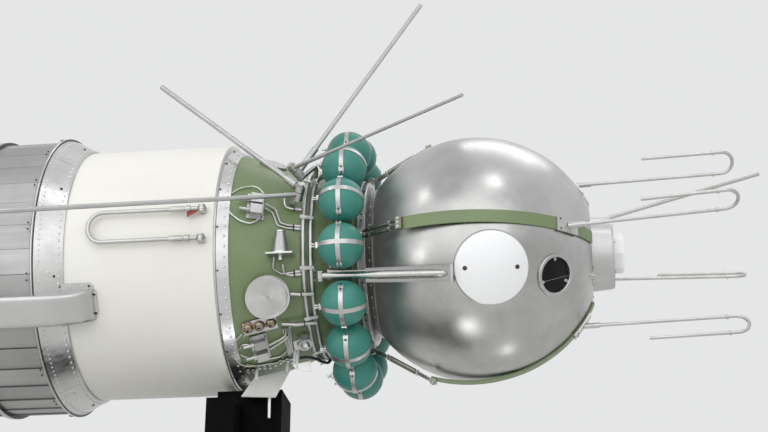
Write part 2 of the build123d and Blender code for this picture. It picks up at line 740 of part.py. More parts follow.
with BuildPart() as cable_duct:
    with BuildSketch(meridian(DUCT_PHI, DATUM)):
        with BuildLine():
            Polyline(
                (duct_aft, duct_floor_r),
                (duct_aft, duct_line[0][1]),
                *duct_line,
                (DUCT_FRONT, duct_line[-1][1] - DUCT_FRONT_DROP),
                (DUCT_FRONT, duct_floor_r),
                close=True,
            )
        make_face()
    extrude(amount=DUCT_WIDTH / 2, both=True)
    fillet(cable_duct.edges().filter_by(Axis.X).sort_by(Axis(DATUM, outward(DUCT_PHI)))[-2:], DUCT_EDGE)
    front_corners = cable_duct.faces().sort_by(Axis.X)[-1].edges().filter_by(Axis(DATUM, outward(DUCT_PHI)))
    chamfer(front_corners, DUCT_CORNER)
    add(duct_foot.part)
    add(cylinder_clear, mode=Mode.SUBTRACT)
    add(
        turned(
            (STAGE_AFT, 0),
            (STAGE_AFT, STAGE_R + STRIP_LAP + SEAT_GAP),
            (stage_front - SEAT_GAP, STAGE_R + STRIP_LAP + SEAT_GAP),
            (stage_front - SEAT_GAP, HOOP_R + SEAT_GAP),
            (BAND_AFT[0] + SEAT_GAP, HOOP_R + SEAT_GAP),
            (BAND_AFT[0] + SEAT_GAP, BAND_AFT[1] + SEAT_GAP),
            (CYLINDER_AFT + SEAT_GAP, BAND_FRONT_R + SEAT_GAP),
            (CYLINDER_AFT + SEAT_GAP, 0),
        ),
        mode=Mode.SUBTRACT,
    )
save(cable_duct.part, "cable_duct")

# Clevis feet of the loop antenna
loop_pivot = place(LOOP_FOOT_STATION, CYLINDER_R + LOOP_PIVOT_LIFT, LOOP_PHI)
loop_side = around(LOOP_PHI)
half_spread = LOOP_SPREAD / 2
ear_inner = LOOP_EYE_WIDTH / 2 + EAR_GAP
with BuildPart() as loop_antenna_feet:
    for side in (-1, 1):
        foot = loop_pivot + loop_side * (side * half_spread)
        for ear in (-1, 1):
            ear_middle = foot + loop_side * (ear * (ear_inner + EAR_THICK / 2))
            with BuildSketch(Plane(origin=ear_middle, x_dir=ALONG, z_dir=loop_side)):
                Circle(LOOP_EYE_R)
                with Locations((0, LOOP_EYE_R)):
                    Rectangle(2 * LOOP_EYE_R, 2 * LOOP_EYE_R)
            extrude(amount=EAR_THICK / 2, both=True)
        with BuildSketch(Plane(origin=foot, x_dir=ALONG, z_dir=loop_side)):
            Circle(LOOP_PIN_R)
        extrude(amount=ear_inner + EAR_THICK, both=True)
    add(cylinder_clear, mode=Mode.SUBTRACT)
save(loop_antenna_feet.part, "loop_antenna_feet")

# Loop antenna: a bent tube with an eye at each foot
loop_plane = Plane(origin=loop_pivot, x_dir=-ALONG, z_dir=-outward(LOOP_PHI))
loop_start = LOOP_EYE_R + EAR_GAP
loop_corners = [
    loop_plane.from_local_coords(Vector(x, y, 0))
    for x, y in (
        (loop_start, -half_spread),
        (LOOP_LENGTH, -half_spread),
        (LOOP_LENGTH, half_spread),
        (loop_start, half_spread),
    )
]
with BuildPart() as loop_antenna:
    add(tube(loop_corners, LOOP_TUBE_R, half_spread * FULL_BEND))
    for side in (-1, 1):
        foot = loop_pivot + loop_side * (side * half_spread)
        add(rod(foot - ALONG * LOOP_NECK_START, foot - ALONG * LOOP_NECK_END, LOOP_NECK_R))
        with BuildSketch(Plane(origin=foot, x_dir=ALONG, z_dir=loop_side)):
            Circle(LOOP_EYE_R)
        extrude(amount=LOOP_EYE_WIDTH / 2, both=True)
        with BuildSketch(Plane(origin=foot, x_dir=ALONG, z_dir=loop_side)):
            Circle(LOOP_PIN_R + PIN_GAP)
        extrude(amount=LOOP_EYE_WIDTH, both=True, mode=Mode.SUBTRACT)
save(loop_antenna.part, "loop_antenna")

# Foot of the cable mast: two ears and their pin on a pad
mast_pivot = place(MAST_PIVOT_STATION, MAST_PIVOT_R, MAST_PHI)
mast_end = SPHERE_CENTRE + lean(MAST_END_ANGLE, MAST_PHI) * (SPHERE_R + MAST_END_LIFT)
mast_side = around(MAST_PHI)
mast_across = Plane(origin=mast_pivot, x_dir=ALONG, z_dir=mast_side)
mast_ear_inner = MAST_TUBE_R + EAR_GAP
mast_height = MAST_PIVOT_R - cone_radius(MAST_PIVOT_STATION)
with BuildPart() as mast_foot:
    for ear in (-1, 1):
        with BuildSketch(mast_across.offset(ear * (mast_ear_inner + EAR_THICK / 2))):
            Circle(MAST_EYE_R)
            with Locations((0, (mast_height + SINK) / 2)):
                Rectangle(2 * MAST_EYE_R, mast_height + SINK)
        extrude(amount=EAR_THICK / 2, both=True)
    with BuildSketch(mast_across):
        Circle(MAST_PIN_R)
    extrude(amount=mast_ear_inner + EAR_THICK, both=True)
    with BuildSketch(mast_across):
        with Locations((0, mast_height + (SINK - MAST_PAD_THICK) / 2)):
            Rectangle(MAST_PAD_LENGTH, MAST_PAD_THICK + SINK)
    extrude(amount=mast_ear_inner + EAR_THICK, both=True)
    add(cone_clear, mode=Mode.SUBTRACT)
save(mast_foot.part, "mast_foot")

# Cable mast: a tube with a thinner one beside it, then a channel, and a strip that reaches under the cover
mast_line = mast_end - mast_pivot
mast_plane = Plane(origin=mast_pivot, x_dir=mast_line, z_dir=mast_line.cross(mast_side))
to_mast = mast_plane.from_local_coords
channel_length = mast_line.length - MAST_CHANNEL_START
channel_middle = MAST_CHANNEL_START + channel_length / 2
channel_seat = MAST_TUBE_R - MAST_CHANNEL_SEAT
with BuildPart() as cable_mast:
    add(rod(to_mast(Vector(MAST_TUBE_START, 0, 0)), mast_end, MAST_TUBE_R))
    side_tube = Vector(0, MAST_SIDE_TUBE_OFFSET, 0)
    side_start = side_tube + Vector(MAST_SIDE_TUBE_START, 0, 0)
    add(rod(to_mast(side_start), to_mast(side_tube + Vector(MAST_CHANNEL_START, 0, 0)), MAST_SIDE_TUBE_R))
    with BuildSketch(mast_plane.offset(channel_seat)):
        with Locations((channel_middle, 0)):
            Rectangle(channel_length, MAST_CHANNEL_WIDTH)
    extrude(amount=MAST_CHANNEL_THICK)
    with BuildSketch(mast_plane.offset(channel_seat + MAST_CHANNEL_THICK - MAST_CHANNEL_LIP)):
        for lip in (-1, 1):
            with Locations((channel_middle, lip * (MAST_CHANNEL_WIDTH - MAST_CHANNEL_THICK) / 2)):
                Rectangle(channel_length, MAST_CHANNEL_THICK)
    extrude(amount=MAST_CHANNEL_LIP)
    with BuildSketch(mast_across):
        Circle(MAST_EYE_R)
    extrude(amount=MAST_TUBE_R, both=True)
    with BuildSketch(mast_across):
        Circle(MAST_PIN_R + PIN_GAP)
    extrude(amount=2 * MAST_TUBE_R, both=True, mode=Mode.SUBTRACT)
    strip_r = SPHERE_R + MAST_STRIP_LIFT
    add(arc_band(meridian(MAST_PHI), strip_r, MAST_STRIP_THICK, *MAST_STRIP_ANGLES, MAST_STRIP_WIDTH))
save(cable_mast.part, "cable_mast")

# Round cover that the mast holds over the sphere, gently domed
with BuildPart() as cover_disc:
    with Locations(SPHERE_CENTRE):
        Sphere(SPHERE_R + COVER_LIFT + COVER_THICK)
        Sphere(SPHERE_R + COVER_LIFT, mode=Mode.SUBTRACT)
    with BuildSketch(sphere_plane(COVER_ANGLE, 0, COVER_PHI)):
        Circle(COVER_R)
    extrude(amount=2 * SPHERE_R, mode=Mode.INTERSECT)
save(cover_disc.part, "cover_disc")

# Descent sphere, flat at the nose, with a stepped recess for the window
with BuildPart() as descent_sphere:
    with Locations(SPHERE_CENTRE):
        Sphere(SPHERE_R)
    with BuildSketch(girth(2 * SPHERE_R)):
        Circle(SPHERE_R)
    extrude(amount=2 * SPHERE_R - NOSE_FLAT, mode=Mode.SUBTRACT)
    for recess_r, floor in ((PORT_FRAME_R + CONTACT_GAP, PORT_SHELF), (PORT_GLASS_R - PORT_LEDGE, PORT_DEPTH)):
        with BuildSketch(sphere_plane(PORT_ANGLE, SPHERE_R - floor, PORT_PHI)):
            Circle(recess_r)
        extrude(amount=2 * PORT_DEPTH, mode=Mode.SUBTRACT)
save(descent_sphere.part, "descent_sphere")

# Window: a ring with the glass inside it
port_floor = sphere_plane(PORT_ANGLE, SPHERE_R - PORT_SHELF, PORT_PHI)
with BuildPart() as porthole_frame:
    with BuildSketch(port_floor):
        Circle(PORT_FRAME_R)
        Circle(PORT_GLASS_R, mode=Mode.SUBTRACT)
    extrude(amount=PORT_SHELF + PORT_PROUD)
    port_front = porthole_frame.faces().sort_by(Axis(port_floor.origin, port_floor.z_dir))[-1]
    chamfer(port_front.edges(), PORT_EDGE)
save(porthole_frame.part, "porthole_frame")

with BuildPart() as porthole_glass:
    with BuildSketch(port_floor):
        Circle(PORT_GLASS_R - CONTACT_GAP)
    extrude(amount=PORT_GLASS_THICK)
save(porthole_glass.part, "porthole_glass")

# Four straps over the sphere; past the lift angle each one bends about a point behind and rises off the sphere
strap_inner_r = SPHERE_R + SEAT_GAP
strap_outer_r = strap_inner_r + STRAP_THICK
lift_x = -STRAP_LIFT * cos(radians(STRAP_LIFT_ANGLE))
lift_y = -STRAP_LIFT * sin(radians(STRAP_LIFT_ANGLE))


def strap_end(end_angle, height):
    """Place forward and outward of the sphere's centre, and bend angle, of a point above a strap's end."""
    line = radians(end_angle)
    reach = strap_outer_r + STRAP_LIFT + height
    toward = lift_x * cos(line) + lift_y * sin(line)
    distance = toward + sqrt(toward**2 - STRAP_LIFT**2 + reach**2)
    x, y = distance * cos(line), distance * sin(line)
    return x, y, degrees(atan2(y - lift_y, x - lift_x))


with BuildPart() as sphere_straps:
    for phi, end_angle in STRAPS:
        plane = meridian(phi)
        add(arc_band(plane, strap_inner_r, STRAP_THICK, STRAP_START, STRAP_LIFT_ANGLE, STRAP_WIDTH))
        bend_end = strap_end(end_angle, 0)[2]
        add(
            arc_band(
                plane,
                strap_inner_r + STRAP_LIFT,
                STRAP_THICK,
                STRAP_LIFT_ANGLE,
                bend_end,
                STRAP_WIDTH,
                (lift_x, lift_y),
            )
        )
save(sphere_straps.part, "sphere_straps")

# Tensioners: a clamp on each strap end, a lug on the neck ring and a pair of turnbuckles between them
lug_station = (NECK_FRONT[0] + RING_FRONT) / 2
clamp_ahead = CLAMP_LENGTH / 2 - CLAMP_OVERHANG
with BuildPart() as strap_tensioners:
    for phi, end_angle in STRAPS:
        plane = meridian(phi)
        station, radius, bend = strap_end(end_angle, CONTACT_GAP)
        clamp_plane = Plane(
            origin=plane.from_local_coords(Vector(station, radius, 0)),
            x_dir=plane.x_dir * cos(radians(bend - 90)) + plane.y_dir * sin(radians(bend - 90)),
            z_dir=plane.x_dir * cos(radians(bend)) + plane.y_dir * sin(radians(bend)),
        )
        forward = clamp_plane.x_dir
        clamp_seat = Plane(
            origin=clamp_plane.origin + forward * clamp_ahead + clamp_plane.z_dir * SEAT_GAP,
            x_dir=forward,
            z_dir=clamp_plane.z_dir,
        )
        add(block(clamp_seat, CLAMP_LENGTH, STRAP_WIDTH, CLAMP_THICK))
        lug = Plane(origin=place(lug_station, RING_R + SEAT_GAP, phi), x_dir=ALONG, z_dir=outward(phi))
        add(block(lug, LUG_LENGTH, LUG_WIDTH, LUG_TOP_R - RING_R))
        for side in (-1, 1):
            shift = plane.z_dir * (side * TURNBUCKLE_SPACING / 2)
            near = place(lug_station, LUG_TOP_R - TURNBUCKLE_BODY_R, phi) + shift
            far = clamp_seat.origin + clamp_plane.z_dir * (CLAMP_THICK / 2) + shift
            add(rod(near, far, TURNBUCKLE_ROD_R))
            body_ends = [near + (far - near) * part for part in TURNBUCKLE_BODY_SPAN]
            add(rod(*body_ends, TURNBUCKLE_BODY_R))
save(strap_tensioners.part, "strap_tensioners")

# Nose: a spun cylinder and the white eight-sided block on it
with BuildPart() as nose_cylinder:
    add(
        turned(
            (NOSE_FLAT, 0),
            (NOSE_FLAT, NOSE_R),
            (NOSE_END - NOSE_RIM, NOSE_TIP_R + NOSE_RIM_STEP),
            (NOSE_END - NOSE_RIM, NOSE_TIP_R),
            (NOSE_END, NOSE_TIP_R - NOSE_RIM_EDGE),
            (NOSE_END, 0),
        )
    )
save(nose_cylinder.part, "nose_cylinder")

with BuildPart() as nose_block:
    with BuildSketch(girth(NOSE_BLOCK_END)):
        RegularPolygon(
            NOSE_BLOCK_ACROSS / 2, NOSE_BLOCK_SIDES, major_radius=False, rotation=180 / NOSE_BLOCK_SIDES
        )
    extrude(amount=NOSE_BLOCK_END - NOSE_END)
    chamfer(nose_block.faces().sort_by(Axis.X)[-1].edges(), NOSE_BLOCK_EDGE)
save(nose_block.part, "nose_block")

# Nose antennas, one on each strap: a wrapped bracket, a sleeve and a folded rod
bracket_r = strap_outer_r + CONTACT_GAP
with BuildPart() as nose_antennas:
    for phi, angle, drift_y, drift_z, leg, back, fold_phi in HAIRPINS:
        heading = Vector(1, drift_y, drift_z).normalized()
        sideways = outward(fold_phi)
        sideways = (sideways - heading * sideways.dot(heading)).normalized()
        base = SPHERE_CENTRE + lean(angle, phi) * (bracket_r + BRACKET_THICK / 2)
        far_corner = base + heading * (leg + HAIRPIN_FOLD_R)
        back_corner = far_corner + sideways * (2 * HAIRPIN_FOLD_R)
        tail = back_corner - heading * (back + HAIRPIN_FOLD_R)
        start = angle - BRACKET_LEAD
        add(arc_band(meridian(phi), bracket_r, BRACKET_THICK, start, start + BRACKET_SPAN, BRACKET_WIDTH))
        leg_start = base + heading * (SLEEVE_LENGTH / 2)
        add(tube([leg_start, far_corner, back_corner, tail], HAIRPIN_R, HAIRPIN_FOLD_R * FULL_BEND))
        add(rod(base, base + heading * SLEEVE_LENGTH, SLEEVE_R))
        for corner in (far_corner, back_corner):
            collar = corner - heading * (HAIRPIN_FOLD_R + COLLAR_SETBACK)
            add(rod(collar, collar + heading * COLLAR_LENGTH, COLLAR_R))
        with BuildSketch(meridian(phi)):
            Circle(bracket_r - CONTACT_GAP / 2)
        extrude(amount=BRACKET_WIDTH / 2, both=True, mode=Mode.SUBTRACT)
save(nose_antennas.part, "nose_antennas")

# Straight rod antenna at the nose
with BuildPart() as nose_rod:
    rod_ahead, rod_foot_r, rod_foot_phi = NOSE_ROD_FOOT
    rod_foot = place(NOSE_FLAT + rod_ahead, rod_foot_r, rod_foot_phi)
    add(rod(rod_foot, rod_foot + lean(NOSE_ROD_ANGLE, NOSE_ROD_PHI) * NOSE_ROD_LENGTH, NOSE_ROD_R))
    add(nose_cylinder.part, mode=Mode.SUBTRACT)
save(nose_rod.part, "nose_rod")

# Whip hubs: a pin and its flanges on a strut, and the bent pipe of the front hub
whip_headings = {name: lean(angle, phi) for name, (hub, layer, angle, phi, *sizes) in WHIPS.items()}
hub_pins = {
    "aft": whip_headings["whip_rod_1"].cross(whip_headings["whip_rod_4"]).normalized(),
    "front": whip_headings["whip_rod_3"].cross(whip_headings["whip_rod_2"]).normalized(),
}
stack = WHIP_COLLAR_THICK + WHIP_COLLAR_GAP / 2 + HUB_PLAY
with BuildPart() as whip_hubs:
    for hub, (station, radius, phi, foot_station, foot_phi) in HUBS.items():
        pivot = place(station, radius, phi)
        pin = hub_pins[hub]
        add(rod(pivot - pin * (stack + HUB_FLANGE), pivot - pin * stack, WHIP_COLLAR_R))
        add(rod(pivot - pin * stack, pivot + pin * stack, WHIP_PIN_R))
        add(rod(pivot + pin * stack, pivot + pin * (stack + HUB_FLANGE), WHIP_NUT_R))
        strut_foot = place(foot_station, cone_radius(foot_station) - SINK, foot_phi)
        strut_top = pivot - pin * (stack + HUB_STRUT_R + HUB_PLAY)
        add(rod(strut_foot, strut_top, HUB_STRUT_R))
        with Locations(strut_top):
            Sphere(HUB_STRUT_R)
    add(tube([strut_top, place(*HUB_PIPE_KNEE), place(*HUB_PIPE_END)], HUB_PIPE_R, HUB_PIPE_BEND))
    add(cone_clear, mode=Mode.SUBTRACT)
save(whip_hubs.part, "whip_hubs")

# Whip rods, each with a collar on its hub's pin and a sleeve
for name, (hub, layer, angle, phi, length, radius, sleeve_r, sleeve_start, sleeve_end) in WHIPS.items():
    pin = hub_pins[hub]
    station, pivot_r, pivot_phi, *foot = HUBS[hub]
    middle = place(station, pivot_r, pivot_phi) + pin * (layer * (WHIP_COLLAR_THICK + WHIP_COLLAR_GAP) / 2)
    heading = whip_headings[name]
    half = pin * (WHIP_COLLAR_THICK / 2)
    with BuildPart() as whip:
        add(rod(middle - half, middle + half, WHIP_COLLAR_R))
        add(rod(middle + heading * WHIP_START, middle + heading * length, radius))
        add(rod(middle + heading * sleeve_start, middle + heading * sleeve_end, sleeve_r))
        add(rod(middle - half * 2, middle + half * 2, WHIP_PIN_R + PIN_GAP), mode=Mode.SUBTRACT)
    save(whip.part, name)

# Round turned disc on the cone, on a stem
with BuildPart() as turned_disc:
    disc_plane = cone_skin(*DISC_AT)
    with BuildSketch(disc_plane.offset(-SINK)):
        Circle(DISC_STEM_R)
    extrude(amount=DISC_STEM + SINK)
    with BuildSketch(disc_plane.offset(DISC_STEM)):
        Circle(DISC_R)
    extrude(amount=DISC_THICK)
    with BuildSketch(disc_plane.offset(DISC_STEM + DISC_HOLE_FLOOR)):
        Circle(DISC_HOLE_R)
    extrude(amount=DISC_THICK, mode=Mode.SUBTRACT)
    add(cone_clear, mode=Mode.SUBTRACT)
save(turned_disc.part, "turned_disc")

# Horn: a tapered cup lying along the girth on an upright flange, with a stub behind it
with BuildPart() as horn_cup:
    horn_station, horn_phi = HORN_AT
    horn_foot = place(horn_station, cone_radius(horn_station) + HORN_HEIGHT, horn_phi)
    horn_plane = Plane(origin=horn_foot, x_dir=ALONG, z_dir=around(HORN_HEADING))
    add(block(horn_plane, *HORN_FLANGE))
    add(rod(horn_foot, horn_foot - horn_plane.z_dir * HORN_STUB, HORN_STUB_R))
    with BuildSketch(horn_plane.offset(HORN_FLANGE[2])):
        Circle(HORN_BASE_R)
    with BuildSketch(horn_plane.offset(HORN_FLANGE[2] + HORN_LENGTH)):
        Circle(HORN_TIP_R)
    loft()
    add(cone_clear, mode=Mode.SUBTRACT)
save(horn_cup.part, "horn_cup")

# Valve blocks on the cone, each block with a stub towards the tail and a bar across the front
block_length, block_width, block_height = VALVE_BLOCK
for name, (station, valve_phi, offsets) in VALVES.items():
    with BuildPart() as valve:
        base = cone_skin(station, valve_phi)
        across = base.z_dir.cross(base.x_dir)
        middle = sum(offsets) / len(offsets)
        span = max(offsets) - min(offsets) + block_width + 2 * VALVE_FOOT_MARGIN
        foot = base.offset(-SINK) * Location((0, middle, 0))
        add(block(Plane(foot), block_length + 2 * VALVE_FOOT_MARGIN, span, VALVE_FOOT_THICK + SINK))
        bar = base.from_local_coords(Vector(block_length / 2 + VALVE_BAR_LEAD, middle, VALVE_STUB_HEIGHT))
        bar_reach = across * (span / 2 - VALVE_BAR_INSET)
        add(rod(bar - bar_reach, bar + bar_reach, VALVE_BAR_R))
        for offset in offsets:
            add(block(Plane(base * Location((0, offset, 0))), block_length, block_width, block_height))
            stub = base.from_local_coords(Vector(0, offset, VALVE_STUB_HEIGHT))
            add(rod(stub, stub - base.x_dir * VALVE_STUB_LENGTH, VALVE_STUB_R))
        add(cone_clear, mode=Mode.SUBTRACT)
    save(valve.part, name)

# Plate with three shallow domes
domes_plane = cone_skin(*DOMES_AT).rotated((0, 0, DOMES_TURN))
plate_length, plate_width, plate_height = DOMES_PLATE
with BuildPart() as dome_plate:
    with BuildSketch(domes_plane.offset(-SINK)):
        RectangleRounded(plate_length, plate_width, DOMES_CORNER)
    extrude(amount=plate_height + SINK)
    add(cone_clear, mode=Mode.SUBTRACT)
save(dome_plate.part, "dome_plate")

with BuildPart() as signal_domes:
    for x in (-DOME_PITCH, 0, DOME_PITCH):
        with Locations(domes_plane.offset(plate_height - DOME_SINK) * Location((x, 0, 0))):
            Sphere(DOME_R)
    with BuildSketch(domes_plane.offset(plate_height + CONTACT_GAP)):
        Rectangle(2 * plate_length, 2 * plate_length)
    extrude(amount=-2 * DOME_R, mode=Mode.SUBTRACT)
save(signal_domes.part, "signal_domes")

# Sensor pot, standing on the cone
pot_plane = cone_skin(*POT_AT)
with BuildPart() as sensor_pot:
    with BuildSketch(Plane(origin=pot_plane.origin, x_dir=pot_plane.z_dir, z_dir=pot_plane.x_dir)):
        with BuildLine():
            Polyline((POT_OUTLINE[0][0], 0), *POT_OUTLINE, close=True)
        make_face()
    revolve(axis=Axis(pot_plane.origin, pot_plane.z_dir))
    add(cone_clear, mode=Mode.SUBTRACT)
save(sensor_pot.part, "sensor_pot")

# Round cover plate high on the cone
with BuildPart() as top_cover:
    with BuildSketch(cone_skin(*TOP_COVER_AT).offset(-SINK)):
        Circle(TOP_COVER_R)
    extrude(amount=TOP_COVER_THICK + SINK)
    add(cone_clear, mode=Mode.SUBTRACT)
save(top_cover.part, "top_cover")

# Pipes that link the fittings on the cone
with BuildPart() as pipework:
    for pipe_r, bend_r, corners in PIPES:
        points = [place(station, cone_radius(station) + height, phi) for station, phi, height in corners]
        add(tube(points, pipe_r, bend_r))
    add(cone_clear, mode=Mode.SUBTRACT)
save(pipework.part, "pipework")

# Deflector plates under the cone, each on lugs
with BuildPart() as deflector_plates:
    for corners in DEFLECTORS:
        points = [DATUM + Vector(*corner) for corner in corners]
        add(sheet(points, DEFLECTOR_THICK))
        middle = sum(points, Vector()) / len(points)
        for point in points[:2]:
            low = point + (middle - point) * DEFLECTOR_LUG_INSET
            offset = low - DATUM
            station, lug_phi = offset.X, degrees(atan2(offset.Z, -offset.Y))
            add(rod(low, place(station, cone_radius(station) - SINK, lug_phi), DEFLECTOR_LUG_R))
    add(cone_clear, mode=Mode.SUBTRACT)
save(deflector_plates.part, "deflector_plates")
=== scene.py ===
import math

import bpy
import numpy as np
from bpy.props import FloatProperty, FloatVectorProperty, PointerProperty
from mathutils import Matrix


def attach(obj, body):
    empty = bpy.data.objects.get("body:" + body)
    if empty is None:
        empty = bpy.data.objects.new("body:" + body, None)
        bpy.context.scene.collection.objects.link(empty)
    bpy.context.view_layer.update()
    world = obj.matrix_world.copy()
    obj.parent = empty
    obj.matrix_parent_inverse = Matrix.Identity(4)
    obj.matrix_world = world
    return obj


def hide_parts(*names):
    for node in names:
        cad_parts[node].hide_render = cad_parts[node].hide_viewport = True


bl_info = {
    "name": "Spacecraft Display Model",
    "version": (1, 0, 0),
    "blender": (4, 5, 0),
    "location": "3D View > Sidebar > Display Model",
    "description": "Finishes and small fittings of a spacecraft display model on its stand",
    "category": "Object",
}

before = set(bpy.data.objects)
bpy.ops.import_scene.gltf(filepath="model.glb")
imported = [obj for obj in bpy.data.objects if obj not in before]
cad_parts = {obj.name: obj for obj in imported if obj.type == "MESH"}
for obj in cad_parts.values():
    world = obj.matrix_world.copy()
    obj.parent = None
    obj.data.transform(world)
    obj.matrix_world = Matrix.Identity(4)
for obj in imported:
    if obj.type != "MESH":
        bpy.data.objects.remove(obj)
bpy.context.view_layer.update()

MM = 0.001
FIXED = "model_on_stand"
ALONG = np.array([1.0, 0.0, 0.0])

# The sphere's centre in the frame, metres. Stations and radii are millimetres from it, along and out of
# the body. A phi is a turn round the body, in degrees.
CENTRE = np.array([0.436, 0.0, 1.136])

# Cones of revolution: stations from aft to fore, and the radius at each
BAND = (-773.0, -727.0), (265.0, 240.5)
FLANGE = (-455.0, -431.0), (229.5, 221.0)
CONE = (-431.0, -300.0, -262.0, -208.0), (218.0, 172.0, 158.0, 150.0)

SPHERE_R = 230.0
NOSE_FLAT = 210.5
PORT_ANGLE, PORT_PHI = 51.5, -32.8
PORT_HOLE_R, PORT_DEPTH = 38.1, 8.0
GLASS_DEPTH, CLIP_R, FINE_LINE_R = 5.0, 28.6, 31.0
STAGE_FACE_R = 266.6
CYLINDER_R = 238.0
DUCT_PHI, DUCT_FOOT_PHI = -33.9, -33.5
DUCT_AFT, DUCT_BEND, DUCT_END = -1096.0, -745.0, -672.0
DUCT_HEIGHT, DUCT_HALF, DUCT_EDGE, DUCT_ROOT = 47.0, 28.5, 7.0, -9.0
DUCT_FOOT_TOP = 3.4
BOTTLE_STATION, BOTTLE_RING_R, BOTTLE_STRAP_R = -230.6, 212.8, 41.9
BOTTLE_PHIS = np.concatenate([-12.5 + 23.4 * np.arange(8), -40.5 - 23.4 * np.arange(7)])
STRAPS = ((-3.3, 121.0), (86.7, 112.0), (176.7, 112.0), (266.7, 112.0))
STRAP_TOP_R, STRAP_LIFT, STRAP_LIFT_ANGLE = 233.3, 32.0, 58.0
CLAMP_TOP = 6.4
LUG_STATION, LUG_TOP_R = -202.0, 169.0
TURNBUCKLE_BODY_R, TURNBUCKLE_HALF = 4.0, 5.5
HOOK_R = 6.5
RING_STATION, RING_R = -202.0, 155.0
RIM_SIDES = 160
PIPE_SLOPE = -19.3
HOOP_STATION, HOOP_NORMAL, HOOP_TOP = -297.0, 70.1, 10.3
TOP_COVER_STATION, TOP_COVER_PHI, TOP_COVER_R = -375.0, 56.0, 198.0
DISC_AT = (-371.0, -36.0)
COVER_R, COVER_ANGLE, COVER_PHI = 240.0, 81.7, -25.8
COVER_RIM = ((226.2, 64.4), (226.2, 65.3), (230.0, 65.6), (230.9, 65.3), (231.4, 64.5), (231.35, 63.6))
MAST_PHI = -27.2
MAST_PIVOT, MAST_END = (-272.0, 188.0, MAST_PHI), (-48.0, 235.0, MAST_PHI)
MAST_CHANNEL_START, MAST_REACH, MAST_TIP = 87.0, 15.5, 8.5
LOOP_PHI, LOOP_R, LOOP_LEG = -1.8, 249.0, 28.0
HORN_STATION, HORN_PHI, HORN_HEADING = -340.0, -15.7, -9.6
FLOOR_SIDES = 96


# Points and directions round the body

def outward(phi):
    """Unit vectors straight out of the body at phi degrees: (0, -cos phi, sin phi)."""
    turn = np.radians(phi)
    return np.stack([np.zeros_like(turn), -np.cos(turn), np.sin(turn)], -1)


def around(phi):
    """Unit vectors along the girth, towards growing phi: (0, sin phi, cos phi)."""
    return outward(np.asarray(phi) + 90.0)


def lean(angle, phi):
    """Unit vectors at an angle from the nose direction, tipped towards phi."""
    angle, phi = np.broadcast_arrays(angle, phi)
    tip = np.radians(angle)[..., None]
    return np.cos(tip) * ALONG + np.sin(tip) * outward(phi)


def place(station, radius, phi):
    """Points in metres at stations, radii and phi: centre + (station, -radius cos phi, radius sin phi)."""
    station, radius, phi = np.broadcast_arrays(station, radius, phi)
    return CENTRE + MM * (station[..., None] * ALONG + radius[..., None] * outward(phi))


def above(cone, station, phi, height=0.0):
    """Points at a height out of a cone of revolution."""
    return place(station, np.interp(station, *cone) + height, phi)


def slope(cone, station, phi):
    """Outward normals of a cone of revolution: lean(90 + arctan(rise of radius over station), phi)."""
    stations, radii = cone
    part = np.clip(np.searchsorted(stations, station) - 1, 0, len(stations) - 2)
    rise = np.diff(radii)[part] / np.diff(stations)[part]
    return lean(90.0 + np.degrees(np.arctan(rise)), phi)


def turns(count, start=0.0):
    """Even turns round the body, in degrees."""
    return start + np.arange(count) * 360.0 / count


def clear_of_duct(phis, gap=8.6):
    """The turns that lie outside the foot of the cable duct."""
    away = (phis - DUCT_FOOT_PHI + 180.0) % 360.0 - 180.0
    return phis[np.abs(away) > gap]


def unit(vectors):
    """Vectors divided by their length."""
    return vectors / np.linalg.norm(vectors, axis=-1, keepdims=True)


def circle(sides):
    """Even turns of a full circle, in radians."""
    return np.linspace(0.0, 2 * np.pi, sides, endpoint=False)


def axes(side, up, back, spot):
    """The matrix of a thing whose own axes are side, up and back, at a spot."""
    turned = np.eye(4)
    turned[:3] = np.column_stack([side, up, back, spot])
    return Matrix(turned.tolist())


# Meshes

def grid_faces(rows, columns, wrap_rows=False, wrap_columns=False):
    """Quads of a grid of points counted row by row: each joins (r, c), (r, c+1), (r+1, c+1), (r+1, c)."""
    r = np.arange(rows if wrap_rows else rows - 1)[:, None]
    c = np.arange(columns if wrap_columns else columns - 1)[None, :]
    r_next, c_next = (r + 1) % rows * columns, (c + 1) % columns
    return np.stack([r * columns + c, r * columns + c_next, r_next + c_next, r_next + c], -1).reshape(-1, 4)


def capped(rows, columns):
    """Faces of a solid lofted through closed rows: its wall and a flat cap at each end."""
    ring = np.arange(columns)[None]
    return [grid_faces(rows, columns, wrap_columns=True), ring[:, ::-1], (rows - 1) * columns + ring]


def add_piece(name, points, faces, finish_name, slot, body=FIXED, crease=35.0):
    """A mesh from points in metres and arrays of faces, one array for each number of corners."""
    faces = [np.asarray(group, np.int32) for group in faces]
    corners = np.concatenate([group.ravel() for group in faces])
    sizes = np.concatenate([np.full(len(group), group.shape[1]) for group in faces])
    mesh = bpy.data.meshes.new(name)
    mesh.vertices.add(len(points))
    mesh.vertices.foreach_set("co", np.asarray(points, np.float32).ravel())
    mesh.loops.add(len(corners))
    mesh.loops.foreach_set("vertex_index", corners)
    mesh.polygons.add(len(sizes))
    mesh.polygons.foreach_set("loop_start", np.concatenate([[0], np.cumsum(sizes)[:-1]]).astype(np.int32))
    mesh.polygons.foreach_set("use_smooth", np.ones(len(sizes), bool))
    mesh.update(calc_edges=True)
    mesh.set_sharp_from_angle(angle=math.radians(crease))
    mesh.materials.append(finish(finish_name))
    piece = bpy.data.objects.new(name, mesh)
    bpy.context.scene.collection.objects.link(piece)
    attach(piece, body)
    return piece


def turned_shape(profile, sides):
    """A small shape for scattering: a profile of height and radius turned about Z, closed flat at both ends."""
    profile, turn = np.array(profile), circle(sides)
    height, radius = profile[:, :1] + 0.0 * turn, profile[:, 1:]
    points = np.stack([radius * np.cos(turn), radius * np.sin(turn), height], -1)
    return points.reshape(-1, 3), capped(len(profile), sides)


